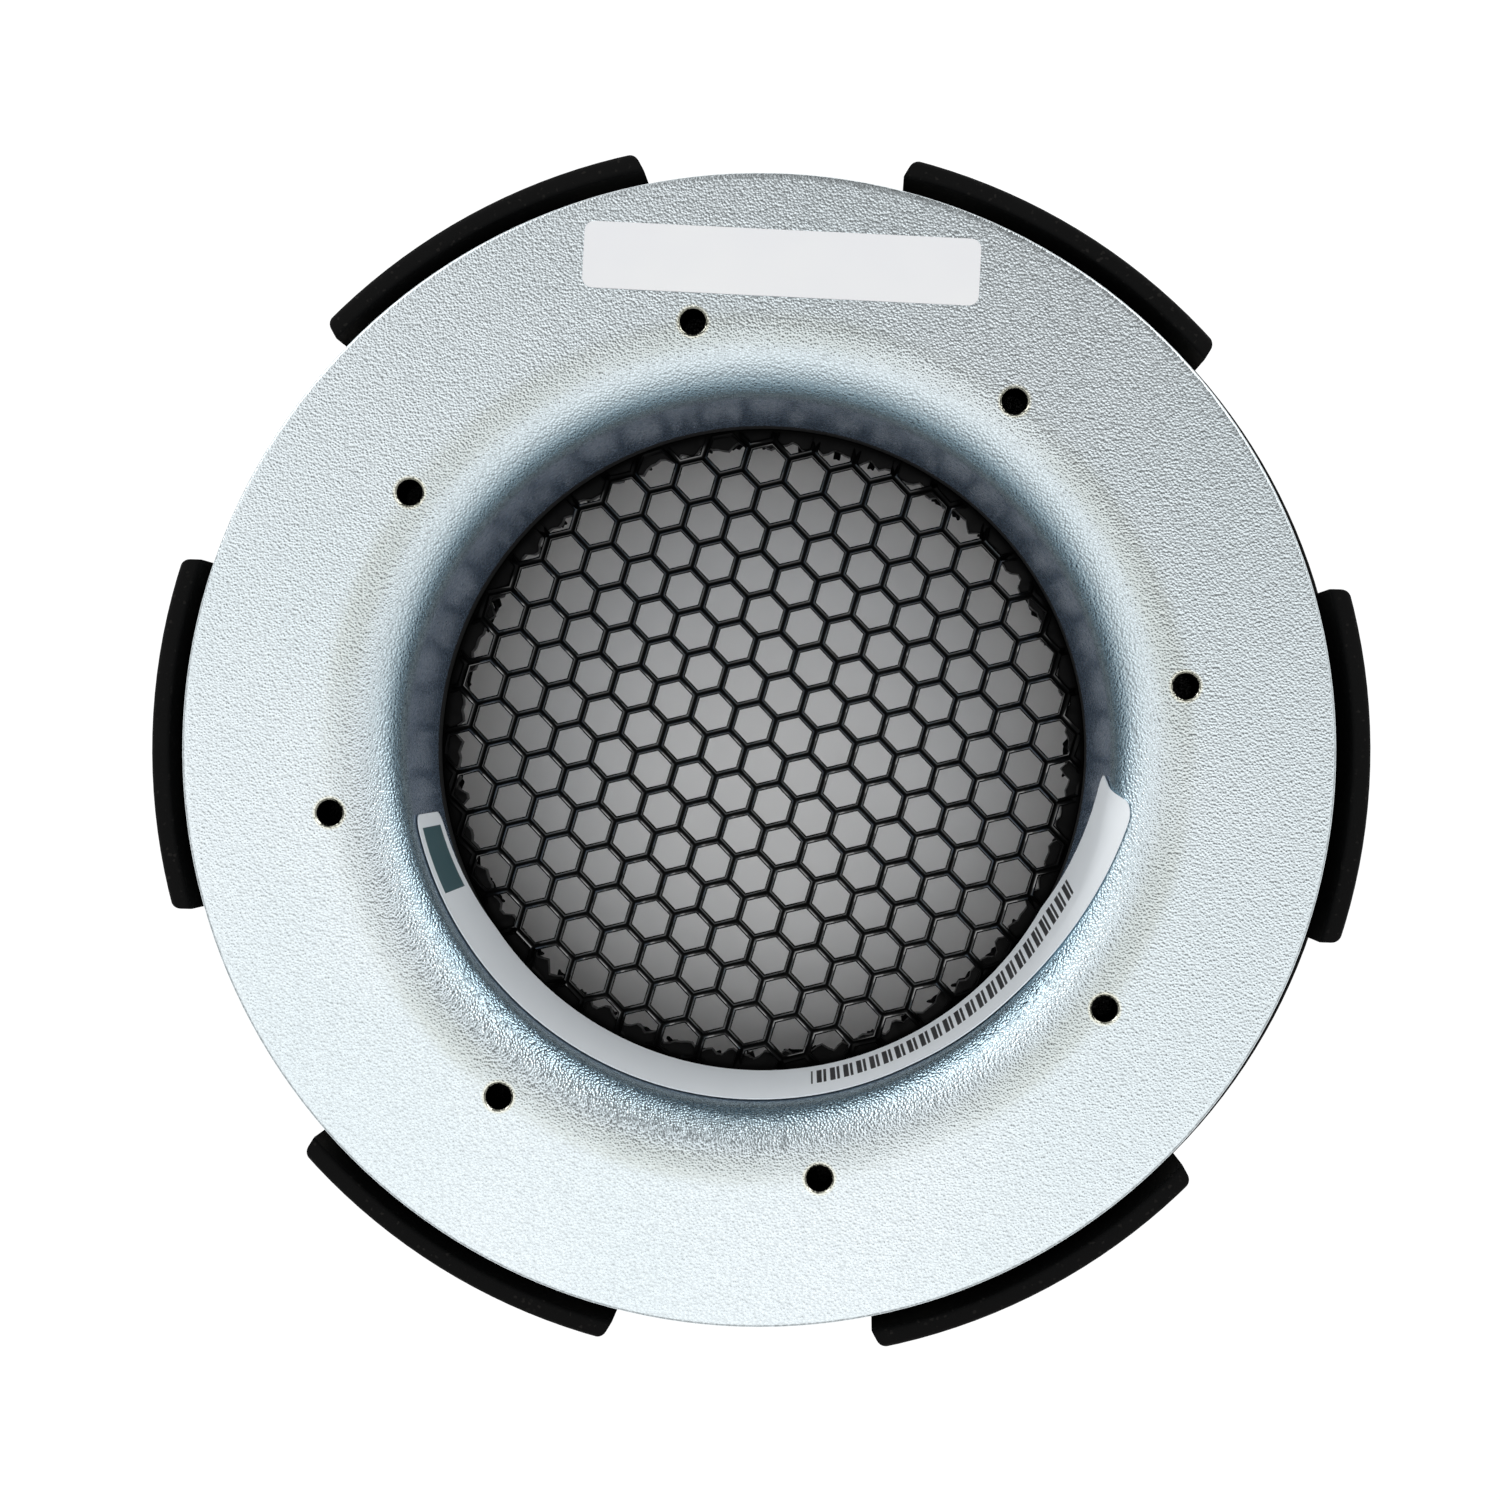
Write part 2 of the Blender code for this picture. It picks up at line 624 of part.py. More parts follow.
def make_surround(finish, ring_finish, parent):
    rear_face = SURROUND_Z + SURROUND_WALL
    front_side = []
    rear_side = []
    for index in range(ROLL_STEPS + 1):
        angle = math.pi * (1 - index / ROLL_STEPS)
        across = math.cos(angle)
        rise = math.sin(angle)
        inner = ROLL_RADIUS - SURROUND_WALL
        front_side.append((ROLL_MIDDLE + ROLL_RADIUS * across, SURROUND_Z - ROLL_RADIUS * rise))
        rear_side.append((ROLL_MIDDLE + inner * across, rear_face - ROLL_RADIUS * rise))
    lip_start = DOME_RADIUS - SURROUND_LIP
    outline = [(lip_start, rear_face), (lip_start, SURROUND_Z)]
    outline += front_side
    outline += [(SEATED_RADIUS, SURROUND_Z), (SEATED_RADIUS, rear_face)]
    outline += rear_side[::-1]
    piece("surround", turned(outline, INNER_STEPS), finish, parent)
    ring = tube(
        RING_BORE + SURROUND_RING_INSET,
        SEATED_RADIUS,
        SURROUND_RING_Z,
        SURROUND_RING_Z + SURROUND_RING_HEIGHT,
        INNER_STEPS,
    )
    piece("surround_ring", ring, ring_finish, parent)


def make_spider(finish, ring_finish, parent):
    start = FORMER_RADIUS + GLUE_GAP
    ring_bore = SEATED_RADIUS - SPIDER_RING_WALL
    first = start + SPIDER_COLLAR
    crests = 2 * SPIDER_WAVE_COUNT
    front = [(start, SPIDER_Z), (first, SPIDER_Z)]
    for index in range(crests):
        radius = first + (ring_bore - first) * (index + 0.5) / crests
        height = SPIDER_HEIGHT if index % 2 else -SPIDER_HEIGHT
        front.append((radius, SPIDER_Z + height))
    front += [(ring_bore, SPIDER_Z), (SEATED_RADIUS, SPIDER_Z)]
    rear = [(radius, height + SPIDER_WALL) for radius, height in front]
    piece("spider", turned(front + rear[::-1], INNER_STEPS), finish, parent)
    top = SPIDER_RING_Z + SPIDER_RING_HEIGHT
    ring = tube(ring_bore, SEATED_RADIUS, SPIDER_RING_Z, top, INNER_STEPS)
    piece("spider_ring", ring, ring_finish, parent)


# Terminals

def blade(width):
    """A blade bent to an L, from its foot on the board to its upright tab."""
    bm = prism(
        [
            (FOOT_START, 0),
            (BLADE_END, 0),
            (BLADE_END, BLADE_HEIGHT),
            (BLADE_END - BLADE_THICKNESS, BLADE_HEIGHT),
            (BLADE_END - BLADE_THICKNESS, BLADE_THICKNESS),
            (FOOT_START, BLADE_THICKNESS),
        ],
        -width / 2,
        width / 2,
    )
    upright = Matrix.Translation((0, 0, FOOT_Z)) @ Matrix.Rotation(math.radians(90), 4, "X")
    bmesh.ops.transform(bm, matrix=upright, verts=bm.verts)
    return bm


def make_blade(sign, width, across, finish, parent):
    place = TERMINAL_TURN @ Matrix.Translation((0, across, 0))
    tab = piece(f"terminal_{sign}", blade(width), finish, parent, place)
    head_z = FOOT_Z + BLADE_THICKNESS + GLUE_GAP
    rivet_hole = rod(RIVET_RADIUS + HOLE_GAP, FOOT_Z - CUT_OVER, head_z + CUT_OVER, SCREW_STEPS)
    bmesh.ops.translate(rivet_hole, verts=rivet_hole.verts, vec=(RIVET_X, 0, 0))
    reach = 2 * BLADE_THICKNESS
    tab_hole = rod(BLADE_HOLE_RADIUS, -reach, reach, SCREW_STEPS)
    lie_down = Matrix.Rotation(math.radians(90), 4, "Y")
    tip = Matrix.Translation((BLADE_END, 0, FOOT_Z + BLADE_HEIGHT - width / 2))
    bmesh.ops.transform(tab_hole, matrix=tip @ lie_down, verts=tab_hole.verts)
    cut(tab, joined(rivet_hole, tab_hole), f"blade_holes_{sign}")
    outline = [
        (0, BOARD_Z),
        (RIVET_RADIUS, BOARD_Z),
        (RIVET_RADIUS, head_z),
        (RIVET_HEAD_RADIUS, head_z),
        (RIVET_HEAD_RADIUS, head_z + RIVET_HEAD_HEIGHT),
        (0, head_z + RIVET_HEAD_HEIGHT),
    ]
    rivet_place = place @ Matrix.Translation((RIVET_X, 0, 0))
    rivet = turned(outline, SCREW_STEPS, closed=False)
    piece(f"rivet_{sign}", rivet, finish, parent, rivet_place)


def make_terminal_board(finish, screw_finish, parent):
    low = (BOARD_START, -BOARD_HALF, BOARD_Z)
    high = (BOARD_END, BOARD_HALF, BOARD_Z + BOARD_THICKNESS)
    board = piece("terminal_board", box(low, high), finish, parent, TERMINAL_TURN)
    holes = []
    for radius, across in (
        (RIVET_RADIUS, PLUS_Y),
        (RIVET_RADIUS, MINUS_Y),
        (BOARD_SCREW_RADIUS, BOARD_SCREW_Y),
    ):
        hole = rod(radius + HOLE_GAP, BOARD_Z - CUT_OVER, FOOT_Z + CUT_OVER, SCREW_STEPS)
        bmesh.ops.translate(hole, verts=hole.verts, vec=(RIVET_X, across, 0))
        holes.append(hole)
    cut(board, joined(*holes), "board_holes")
    head_z = FOOT_Z
    outline = [
        (0, RING_HEIGHT - BOARD_SCREW_DEPTH),
        (BOARD_SCREW_RADIUS, RING_HEIGHT - BOARD_SCREW_DEPTH),
        (BOARD_SCREW_RADIUS, head_z),
        (BOARD_SCREW_HEAD_RADIUS, head_z),
        (BOARD_SCREW_HEAD_RADIUS, head_z + BOARD_SCREW_HEAD_HEIGHT),
        (0, head_z + BOARD_SCREW_HEAD_HEIGHT),
    ]
    place = TERMINAL_TURN @ Matrix.Translation((RIVET_X, BOARD_SCREW_Y, 0))
    screw = turned(outline, SCREW_STEPS, closed=False)
    piece("terminal_screw", screw, screw_finish, parent, place)


def smooth_route(points, steps):
    """Points along a Catmull-Rom curve through the given points."""
    padded = [2 * points[0] - points[1]] + points + [2 * points[-1] - points[-2]]
    spans = len(points) - 1
    route = []
    for index in range(steps + 1):
        along = spans * index / steps
        span = min(int(along), spans - 1)
        t = along - span
        a, b, c, d = padded[span : span + 4]
        route.append(
            0.5 * (2 * b + (c - a) * t + (2 * a - 5 * b + 4 * c - d) * t**2
                   + (3 * b - a - 3 * c + d) * t**3)
        )
    return route


def make_lead(sign, across, finish, parent):
    """A flexible lead from the foot of a blade over the clamp ring to the former."""
    turn = TERMINAL_ANGLE + math.atan2(across, FOOT_START)
    outwards = Vector((math.cos(turn), math.sin(turn), 0))
    foot = FOOT_START / math.cos(turn - TERMINAL_ANGLE) + LEAD_RADIUS
    end = FORMER_RADIUS + GLUE_GAP + LEAD_RADIUS
    low = FOOT_Z + BLADE_THICKNESS + GLUE_GAP + LEAD_RADIUS
    points = [
        outwards * foot + Vector((0, 0, low)),
        outwards * (POST_BORE - 2 * LEAD_RADIUS) + Vector((0, 0, (low + LEAD_Z) / 2)),
        outwards * ROLL_OUTSIDE + Vector((0, 0, LEAD_Z)),
        outwards * ROLL_MIDDLE + Vector((0, 0, LEAD_Z)),
        outwards * end + Vector((0, 0, (low + LEAD_Z) / 2)),
    ]
    route = smooth_route(points, LEAD_STEPS)
    curve = bpy.data.curves.new(f"lead_{sign}", "CURVE")
    curve.dimensions = "3D"
    curve.bevel_depth = LEAD_RADIUS
    curve.bevel_resolution = 2
    curve.use_fill_caps = True
    spline = curve.splines.new("POLY")
    spline.points.add(len(route) - 1)
    for spot, point in zip(spline.points, route):
        spot.co = (*point, 1.0)
    curve.materials.append(finish)
    obj = bpy.data.objects.new(f"lead_{sign}", curve)
    bpy.context.collection.objects.link(obj)
    obj.parent = parent


# Labels

def make_plate_label(finish, parent):
    half = Vector((PLATE_LABEL_WIDTH / 2, PLATE_LABEL_LENGTH / 2))
    outline = []
    for quarter in range(4):
        sign = Vector(((1, -1, -1, 1)[quarter], (1, 1, -1, -1)[quarter]))
        for index in range(CORNER_STEPS + 1):
            angle = math.pi / 2 * (quarter + index / CORNER_STEPS)
            corner = sign * (half - Vector((PLATE_LABEL_CORNER, PLATE_LABEL_CORNER)))
            point = corner + PLATE_LABEL_CORNER * Vector((math.cos(angle), math.sin(angle)))
            outline.append((point.x, point.y))
    bottom = REAR_Z + LABEL_GAP
    label = prism(outline, bottom, bottom + LABEL_THICKNESS)
    middle = TAP_CIRCLE + PLATE_LABEL_MARGIN
    place = Matrix.Rotation(PLATE_LABEL_ANGLE, 4, "Z") @ Matrix.Translation((middle, 0, 0))
    piece("plate_label", label, finish, parent, place)


def make_throat_label(finish, parent):
    """A strip on the tapered wall of the throat, swept part of the way round Z."""
    start = THROAT_LABEL_DROP
    end = start + THROAT_LABEL_WIDTH / math.sqrt(1 + THROAT_TAPER**2)
    bm = bmesh.new()
    corners = []
    for drop, off in (
        (start, LABEL_GAP),
        (end, LABEL_GAP),
        (end, LABEL_GAP + LABEL_THICKNESS),
        (start, LABEL_GAP + LABEL_THICKNESS),
    ):
        radius, height = throat_wall(drop)
        corners.append(bm.verts.new((radius - off, 0, height)))
    face = bm.faces.new(corners)
    bmesh.ops.rotate(bm, verts=bm.verts, matrix=Matrix.Rotation(THROAT_LABEL_START, 3, "Z"))
    bmesh.ops.spin(
        bm,
        geom=[face] + list(face.edges) + corners,
        cent=(0, 0, 0),
        axis=(0, 0, 1),
        angle=THROAT_LABEL_TURN,
        steps=THROAT_LABEL_STEPS,
    )
    bmesh.ops.recalc_face_normals(bm, faces=bm.faces)
    piece("throat_label", bm, finish, parent)


def main():
    for obj in list(bpy.data.objects):
        bpy.data.objects.remove(obj)
    finish = make_materials()
    fixed = empty("driver", 0.0)
    moving = empty("dome_travel", BRIM_Z)
    make_rear_yoke(finish["zinc"], fixed)
    make_front_plate(finish["zinc"], fixed)
    make_magnets(finish["nickel"], fixed)
    make_chassis(finish["black"], fixed)
    make_chassis_screws(finish["steel"], fixed)
    make_rear_grille(finish["net"], fixed)
    make_front_grille(finish["net"], finish["black"], fixed)
    make_dome(finish["ceramic"], moving)
    make_former_and_coil(finish["titanium"], finish["copper"], moving)
    make_surround(finish["rubber"], finish["resin"], fixed)
    make_spider(finish["cloth"], finish["resin"], fixed)
    make_terminal_board(finish["resin"], finish["steel"], fixed)
    for sign, width, across in (("plus", PLUS_WIDTH, PLUS_Y), ("minus", MINUS_WIDTH, MINUS_Y)):
        make_blade(sign, width, across, finish["brass"], fixed)
        make_lead(sign, across, finish["copper"], fixed)
    make_plate_label(finish["paper"], fixed)
    make_throat_label(finish["paper"], fixed)


main()
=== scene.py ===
# %% [markdown]
# The back of a midrange loudspeaker driver
#
# The driver lies on its front ring, and the camera looks down on the zinc-plated yoke, the open
# throat with its black mesh, and the six fingers of the cage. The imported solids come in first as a
# fixed frame. Each solid is then stood for by a finer piece of the same size in the same place.

# %% Load the frame
import math

import bpy
from mathutils import Matrix, Vector
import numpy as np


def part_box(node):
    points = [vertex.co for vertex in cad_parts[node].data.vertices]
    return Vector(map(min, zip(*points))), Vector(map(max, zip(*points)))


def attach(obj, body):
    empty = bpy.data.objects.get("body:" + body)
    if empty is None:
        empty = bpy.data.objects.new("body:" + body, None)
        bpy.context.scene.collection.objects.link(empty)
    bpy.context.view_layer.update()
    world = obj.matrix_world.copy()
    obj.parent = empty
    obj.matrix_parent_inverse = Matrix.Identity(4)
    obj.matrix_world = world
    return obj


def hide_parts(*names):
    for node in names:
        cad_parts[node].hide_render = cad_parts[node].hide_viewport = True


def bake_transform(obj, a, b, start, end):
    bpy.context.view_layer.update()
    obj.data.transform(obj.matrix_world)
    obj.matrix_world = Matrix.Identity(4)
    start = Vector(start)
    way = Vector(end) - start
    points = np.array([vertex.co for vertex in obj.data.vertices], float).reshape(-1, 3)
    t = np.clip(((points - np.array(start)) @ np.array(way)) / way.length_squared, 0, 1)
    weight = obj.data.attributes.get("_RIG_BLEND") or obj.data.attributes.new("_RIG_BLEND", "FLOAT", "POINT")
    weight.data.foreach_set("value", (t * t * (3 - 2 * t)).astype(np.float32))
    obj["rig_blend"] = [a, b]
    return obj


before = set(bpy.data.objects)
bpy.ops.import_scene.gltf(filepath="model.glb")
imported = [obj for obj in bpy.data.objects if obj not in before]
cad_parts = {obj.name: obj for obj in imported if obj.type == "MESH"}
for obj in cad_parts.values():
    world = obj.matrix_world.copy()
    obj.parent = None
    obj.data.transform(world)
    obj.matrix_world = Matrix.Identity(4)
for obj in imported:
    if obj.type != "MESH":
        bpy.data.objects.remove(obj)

MM = 0.001
FULL_TURN = 2 * math.pi


def box(node):
    """The low and the high corner of a solid, in millimetres."""
    return [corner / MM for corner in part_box(node)]


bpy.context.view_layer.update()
rear_face = box("rear_yoke")[1].z
print(f"{len(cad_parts)} solids, rear face at {rear_face:.1f} mm")

# %% [markdown]
# Camera
#
# The photograph was taken from straight behind, about a third of a metre away, with the lens a
# centimetre to the right of the axis: the mesh at the bottom of the throat looks shifted against
# the plate. A look-at helper of Blender would turn the picture when it looks straight down, so the
# camera's three axes are worked out here, with the small turn of the driver in its up direction.

# %% Place the camera
CAMERA_DISTANCE = 330.0
CAMERA_ASIDE = 10.2
CAMERA_AIM = (-0.58, -0.03)
DRIVER_TURN = math.radians(1.6)
PICTURE_WIDTH = 145.33  # millimetres of the rear face across the picture
SENSOR = 36.0

eye = Vector((CAMERA_ASIDE, 0, rear_face + CAMERA_DISTANCE)) * MM
aim = Vector((*CAMERA_AIM, rear_face)) * MM
backwards = (eye - aim).normalized()
upwards = Vector((-math.sin(DRIVER_TURN), math.cos(DRIVER_TURN), 0))
sideways = upwards.cross(backwards).normalized()
upwards = backwards.cross(sideways)
bpy.ops.object.camera_add(location=eye)
camera = bpy.context.object
camera.rotation_euler = Matrix((sideways, upwards, backwards)).transposed().to_euler()
camera.data.sensor_width = SENSOR
camera.data.lens = SENSOR * CAMERA_DISTANCE / PICTURE_WIDTH
bpy.context.scene.camera = camera
print(f"lens {camera.data.lens:.1f} mm")

# %% [markdown]
# Helpers for nodes
#
# All finishes are built from nodes. One small function adds a node, sets its options and fills its
# sockets with numbers or with the outputs of other nodes. A socket knows the tree it lives in, so
# the sums below find their tree by themselves, and a finish reads as a list.

# %% Node helpers
def is_socket(value):
    return isinstance(value, bpy.types.NodeSocket)


def fill(node, sockets):
    """Sets sockets of a node, or links them to the outputs of other nodes."""
    for name, value in sockets.items():
        if is_socket(value):
            node.id_data.links.new(value, node.inputs[name])
        else:
            node.inputs[name].default_value = value


def add(tree, kind, sockets, **options):
    made = tree.nodes.new("ShaderNode" + kind)
    for name, value in options.items():
        setattr(made, name, value)
    fill(made, sockets)
    return made


def mixed(share, first, second):
    """A colour between two colours."""
    first, second = (part if is_socket(part) else (*part, 1.0) for part in (first, second))
    return add(share.id_data, "Mix", {0: share, 6: first, 7: second}, data_type="RGBA").outputs[2]


def maths(operation, *values):
    tree = next(value.id_data for value in values if is_socket(value))
    return add(tree, "Math", dict(enumerate(values)), operation=operation).outputs[0]


def times(first, *others):
    """The product of two or more values."""
    for other in others:
        first = maths("MULTIPLY", first, other)
    return first


def ranged(value, low, high, to_low=0.0, to_high=1.0):
    """A value stretched from one range to another, and kept inside it."""
    sockets = {0: value, 1: low, 2: high, 3: to_low, 4: to_high}
    return add(value.id_data, "MapRange", sockets, interpolation_type="SMOOTHSTEP").outputs[0]


def inside(value, low, high):
    """One where a value lies between two others, and nought elsewhere."""
    return times(maths("GREATER_THAN", value, low), maths("LESS_THAN", value, high))


def distance(x, y):
    """How far a flat place lies from the middle."""
    flat = add(x.id_data, "CombineXYZ", {0: x, 1: y}).outputs[0]
    return add(x.id_data, "VectorMath", {0: flat}, operation="LENGTH").outputs["Value"]


print("node helpers ready")

# %% [markdown]
# Effects that several finishes share
#
# Grain gives a sandy height, a random tone for each grain, and pebbles. Drift is a slow change of
# colour over a surface. Polar turns a place into its angle, its distance from the driver's axis and
# its height, because most of the pieces are turned ones. Each is one node group, used with other
# values in each finish.

# %% Grain, drift and polar groups
def new_group(name, inputs, outputs):
    """An empty node group, the outputs of its input node, and its output node."""
    tree = bpy.data.node_groups.new(name, "ShaderNodeTree")
    for socket, kind in inputs.items():
        tree.interface.new_socket(socket, in_out="INPUT", socket_type="NodeSocket" + kind)
    for socket in outputs:
        tree.interface.new_socket(socket, in_out="OUTPUT", socket_type="NodeSocketFloat")
    return tree, tree.nodes.new("NodeGroupInput").outputs, tree.nodes.new("NodeGroupOutput")


grain, sockets, result = new_group(
    "grain", {"Place": "Vector", "Grains per metre": "Float"}, ["Height", "Tone", "Pebbles"]
)
spread = {"Vector": sockets["Place"], "Scale": sockets["Grains per metre"]}
fine = add(grain, "TexNoise", {**spread, "Detail": 2.0, "Roughness": 0.55}).outputs
cells = add(grain, "TexVoronoi", spread).outputs
fill(result, {
    "Height": fine["Fac"],
    "Tone": add(grain, "SeparateColor", {"Color": cells["Color"]}).outputs[0],
    "Pebbles": maths("SUBTRACT", 1.0, cells["Distance"]),
})

drift, sockets, result = new_group(
    "drift", {"Place": "Vector", "Patches per metre": "Float"}, ["Mask"]
)
spread = {"Vector": sockets["Place"], "Scale": sockets["Patches per metre"]}
cloud = add(drift, "TexNoise", {**spread, "Detail": 3.0}).outputs
fill(result, {"Mask": ranged(cloud["Fac"], 0.35, 0.65)})

polar, sockets, result = new_group("polar", {"Place": "Vector"}, ["Angle", "Radius", "Height"])
x, y, z = add(polar, "SeparateXYZ", {0: sockets["Place"]}).outputs
fill(result, {"Angle": maths("ARCTAN2", y, x), "Radius": distance(x, y), "Height": z})
print("groups:", grain.name, drift.name, polar.name)

# %% [markdown]
# Every finish starts in the same way: a new material with its shader, and the place on the piece
# that the patterns follow. Most of them end with a bump, whose depth is given in millimetres.

# %% Start of a finish
def grained(place, count):
    sockets = {"Place": place, "Grains per metre": count}
    return add(place.id_data, "Group", sockets, node_tree=grain).outputs


def drifted(place, count):
    sockets = {"Place": place, "Patches per metre": count}
    return add(place.id_data, "Group", sockets, node_tree=drift).outputs["Mask"]


def turned_place(place):
    return add(place.id_data, "Group", {"Place": place}, node_tree=polar).outputs


def new_finish(name, roughness, metallic=0.0):
    """A material, its shader and the place on the piece."""
    made = bpy.data.materials.new(name)
    made.use_nodes = True
    shader = made.node_tree.nodes["Principled BSDF"]
    fill(shader, {"Roughness": roughness, "Metallic": metallic})
    return made, shader, add(made.node_tree, "TexCoord", {}).outputs["Object"]


def bumped(shader, height, strength, depth):
    sockets = {"Height": height, "Strength": strength, "Distance": depth * MM}
    fill(shader, {"Normal": add(shader.id_data, "Bump", sockets).outputs["Normal"]})


print("ready for finishes")

# %% [markdown]
# Zinc plate
#
# The yoke is steel with a pebbled skin under bright zinc. The plating is blue-white, blue in the mouth and
# violet-blue down the throat, where the pebbles end. A darker olive ring at the start of the bell mouth is
# painted reflection, the throat is painted darker towards the bottom as shade, and the insides of the holes,
# the front plate's face under the magnets and the end of the bore are painted black as shade. Round each
# tapped hole the bare edge shows as a pale yellow ring.
# from the polar place: the angle is folded to the nearest hole, so the eight need no painting.
# Radii and heights are in metres here, because a material's place is.

# %% Zinc finish
HOLE_COUNT = 8
HOLE_CIRCLE = 42.0
HOLE_START = math.radians(10.0)


def make_zinc():
    made, shader, place = new_finish("zinc_plate", 0.24, 1.0)
    sand = grained(place, 4000.0)
    patches = drifted(place, 28.0)
    spot = turned_place(place)
    radius, height = spot["Radius"], spot["Height"]

    # The plate: darker between the pebbles, with a darker olive ring before the bell mouth painted as the
    # dim reflection there.
    skin = mixed(patches, (0.66, 0.73, 0.76), (0.69, 0.75, 0.78))
    skin = mixed(ranged(sand["Pebbles"], 0.62, 0.30, 0.0, 0.45), skin, (0.46, 0.50, 0.51))
    olive_reflection = times(ranged(radius, 0.0385, 0.0402), ranged(radius, 0.0432, 0.0415))
    olive_reflection = times(olive_reflection, ranged(patches, 0.0, 1.0, 0.45, 0.15))
    skin = mixed(olive_reflection, skin, (0.48, 0.51, 0.46))

    # The bell mouth with its blue tint, and the throat below it, whose violet-blue tint is darkened towards
    # the bottom by painted shade.
    throat = maths("LESS_THAN", radius, 0.0412)
    flare = times(throat, ranged(height, 0.04685, 0.0442))
    skin = mixed(flare, skin, (0.46, 0.62, 0.71))
    # Painted shade: the throat wall is painted darker towards the bottom, over its violet-blue tint.
    throat_tint_and_shade = times(throat, ranged(height, 0.0434, 0.0405))
    skin = mixed(throat_tint_and_shade, skin, (0.20, 0.27, 0.37))

    # The tapped holes with their pale rings. Painted shade: the insides of the holes, the front plate's face
    # under the magnets and the end of the bore are painted black.
    fold = maths("SUBTRACT", spot["Angle"], HOLE_START)
    fold = maths("WRAP", fold, math.pi / HOLE_COUNT, -math.pi / HOLE_COUNT)
    away = distance(times(fold, radius), maths("SUBTRACT", radius, HOLE_CIRCLE * MM))
    skin = mixed(ranged(away, 0.0018, 0.0014, 0.0, 0.7), skin, (0.74, 0.72, 0.58))
    # Painted shade: the inside of each tapped hole, below the countersink, is painted black.
    hole_shade = times(maths("LESS_THAN", height, 0.04645), maths("LESS_THAN", away, 0.0016))
    hole_shade = maths("MAXIMUM", hole_shade, maths("LESS_THAN", away, 0.00128))
    # Painted shade: the front plate's rear face, in the gap between and under the magnets, is painted black.
    gap_shade = times(inside(height, 0.0266, 0.0300), maths("GREATER_THAN", radius, 0.0385))
    # Painted shade: the end of the bore below the taper, with the pole's hidden lower wall, is painted
    # black.
    bore = times(inside(height, 0.0180, 0.0284), maths("LESS_THAN", radius, 0.0375))
    painted_shade = maths("MAXIMUM", hole_shade, maths("MAXIMUM", gap_shade, bore))

    # Pebbles rise in the mouth and end on the wall.
    smooth = times(throat, ranged(height, 0.0427, 0.0408))
    rise = maths("MULTIPLY_ADD", smooth, -2.1, ranged(radius, 0.0424, 0.0398, 1.0, 2.5))
    bumped(shader, times(sand["Pebbles"], rise), 1.0, 0.027)
    rough = ranged(sand["Tone"], 0.0, 1.0, 0.28, 0.16)
    # The painted shade is laid over the plating in black.
    fill(shader, {
        "Base Color": mixed(painted_shade, skin, (0.02, 0.02, 0.02)),
        "Roughness": maths("MAXIMUM", rough, times(bore, 0.9)),
        "Metallic": maths("MULTIPLY_ADD", throat_tint_and_shade, -0.4, 1.0),
    })
    return made


zinc = make_zinc()
print("finish:", zinc.name)

# %% [markdown]
# Black coats
#
# The cage wears a matte powder coat with a fine skin and a few grey specks of dust. The clamp rings
# and the terminal strip are dark laminate, and the screws are blackened steel: the same recipe with
# other colours, grain and gloss, so one function makes the three. The mesh is dipped in a blacker
# coat. It shines only on the crests of the strands, which are marked when the mesh is laid out, and
# so draws light lines there.

# %% Black finishes
def make_dark(name, colour, dust, roughness, gloss, grains, depth, metallic=0.0):
    made, shader, place = new_finish(name, roughness, metallic)
    skin = grained(place, grains)
    patches = drifted(place, 60.0)
    tint = mixed(patches, colour, tuple(1.5 * part for part in colour))
    fill(shader, {
        "Specular IOR Level": gloss,
        "Base Color": mixed(ranged(skin["Tone"], 0.93, 1.0), tint, dust),
        "Roughness": ranged(patches, 0.0, 1.0, roughness, roughness + 0.10),
    })
    bumped(shader, skin["Height"], 0.5, depth)
    return made


def make_mesh_coat():
    made, shader, place = new_finish("mesh_coat", 0.35)
    ridge = add(shader.id_data, "Attribute", {}, attribute_name="ridge").outputs["Fac"]
    fill(shader, {
        "Base Color": (0.002, 0.002, 0.002, 1.0),
        "Specular IOR Level": 0.06,
        "Coat Roughness": 0.12,
        "Coat IOR": 2.0,
        "Roughness": ranged(drifted(place, 60.0), 0.0, 1.0, 0.30, 0.42),
        "Coat Weight": ranged(ridge, 0.4, 0.95),
    })
    return made


powder = make_dark("powder_coat", (0.003,) * 3, (0.014, 0.013, 0.012), 0.62, 0.07, 3800.0, 0.05)
dipped = make_mesh_coat()
laminate = make_dark(
    "laminate", (0.022, 0.017, 0.013), (0.050, 0.038, 0.026), 0.48, 0.4, 2600.0, 0.03
)
steel = make_dark("black_steel", (0.045, 0.045, 0.048), (0.10,) * 3, 0.36, 0.5, 2600.0, 0.02, 0.8)
print("finishes:", powder.name, dipped.name, laminate.name, steel.name)

# %% [markdown]
# Metals of the motor
#
# Nickel on the magnets, titanium on the former, tin on the brass terminals and enamel on the copper
# winding are all smooth metals. They differ in colour and in the lines that their making left: the
# same brushed noise, stretched along Z or round the axis, does for all of them.

# %% Metal finishes
def make_metal(name, colour, stain, roughness, streak):
    made, shader, place = new_finish(name, roughness, 1.0)
    stretch = add(shader.id_data, "Mapping", {"Vector": place, "Scale": streak}).outputs[0]
    brush = {"Vector": stretch, "Scale": 1500.0, "Detail": 3.0}
    lines = add(shader.id_data, "TexNoise", brush).outputs["Fac"]
    fill(shader, {
        "Base Color": mixed(drifted(place, 90.0), colour, stain),
        "Roughness": ranged(lines, 0.3, 0.7, roughness - 0.06, roughness + 0.10),
    })
    bumped(shader, lines, 0.25, 0.02)
    return made


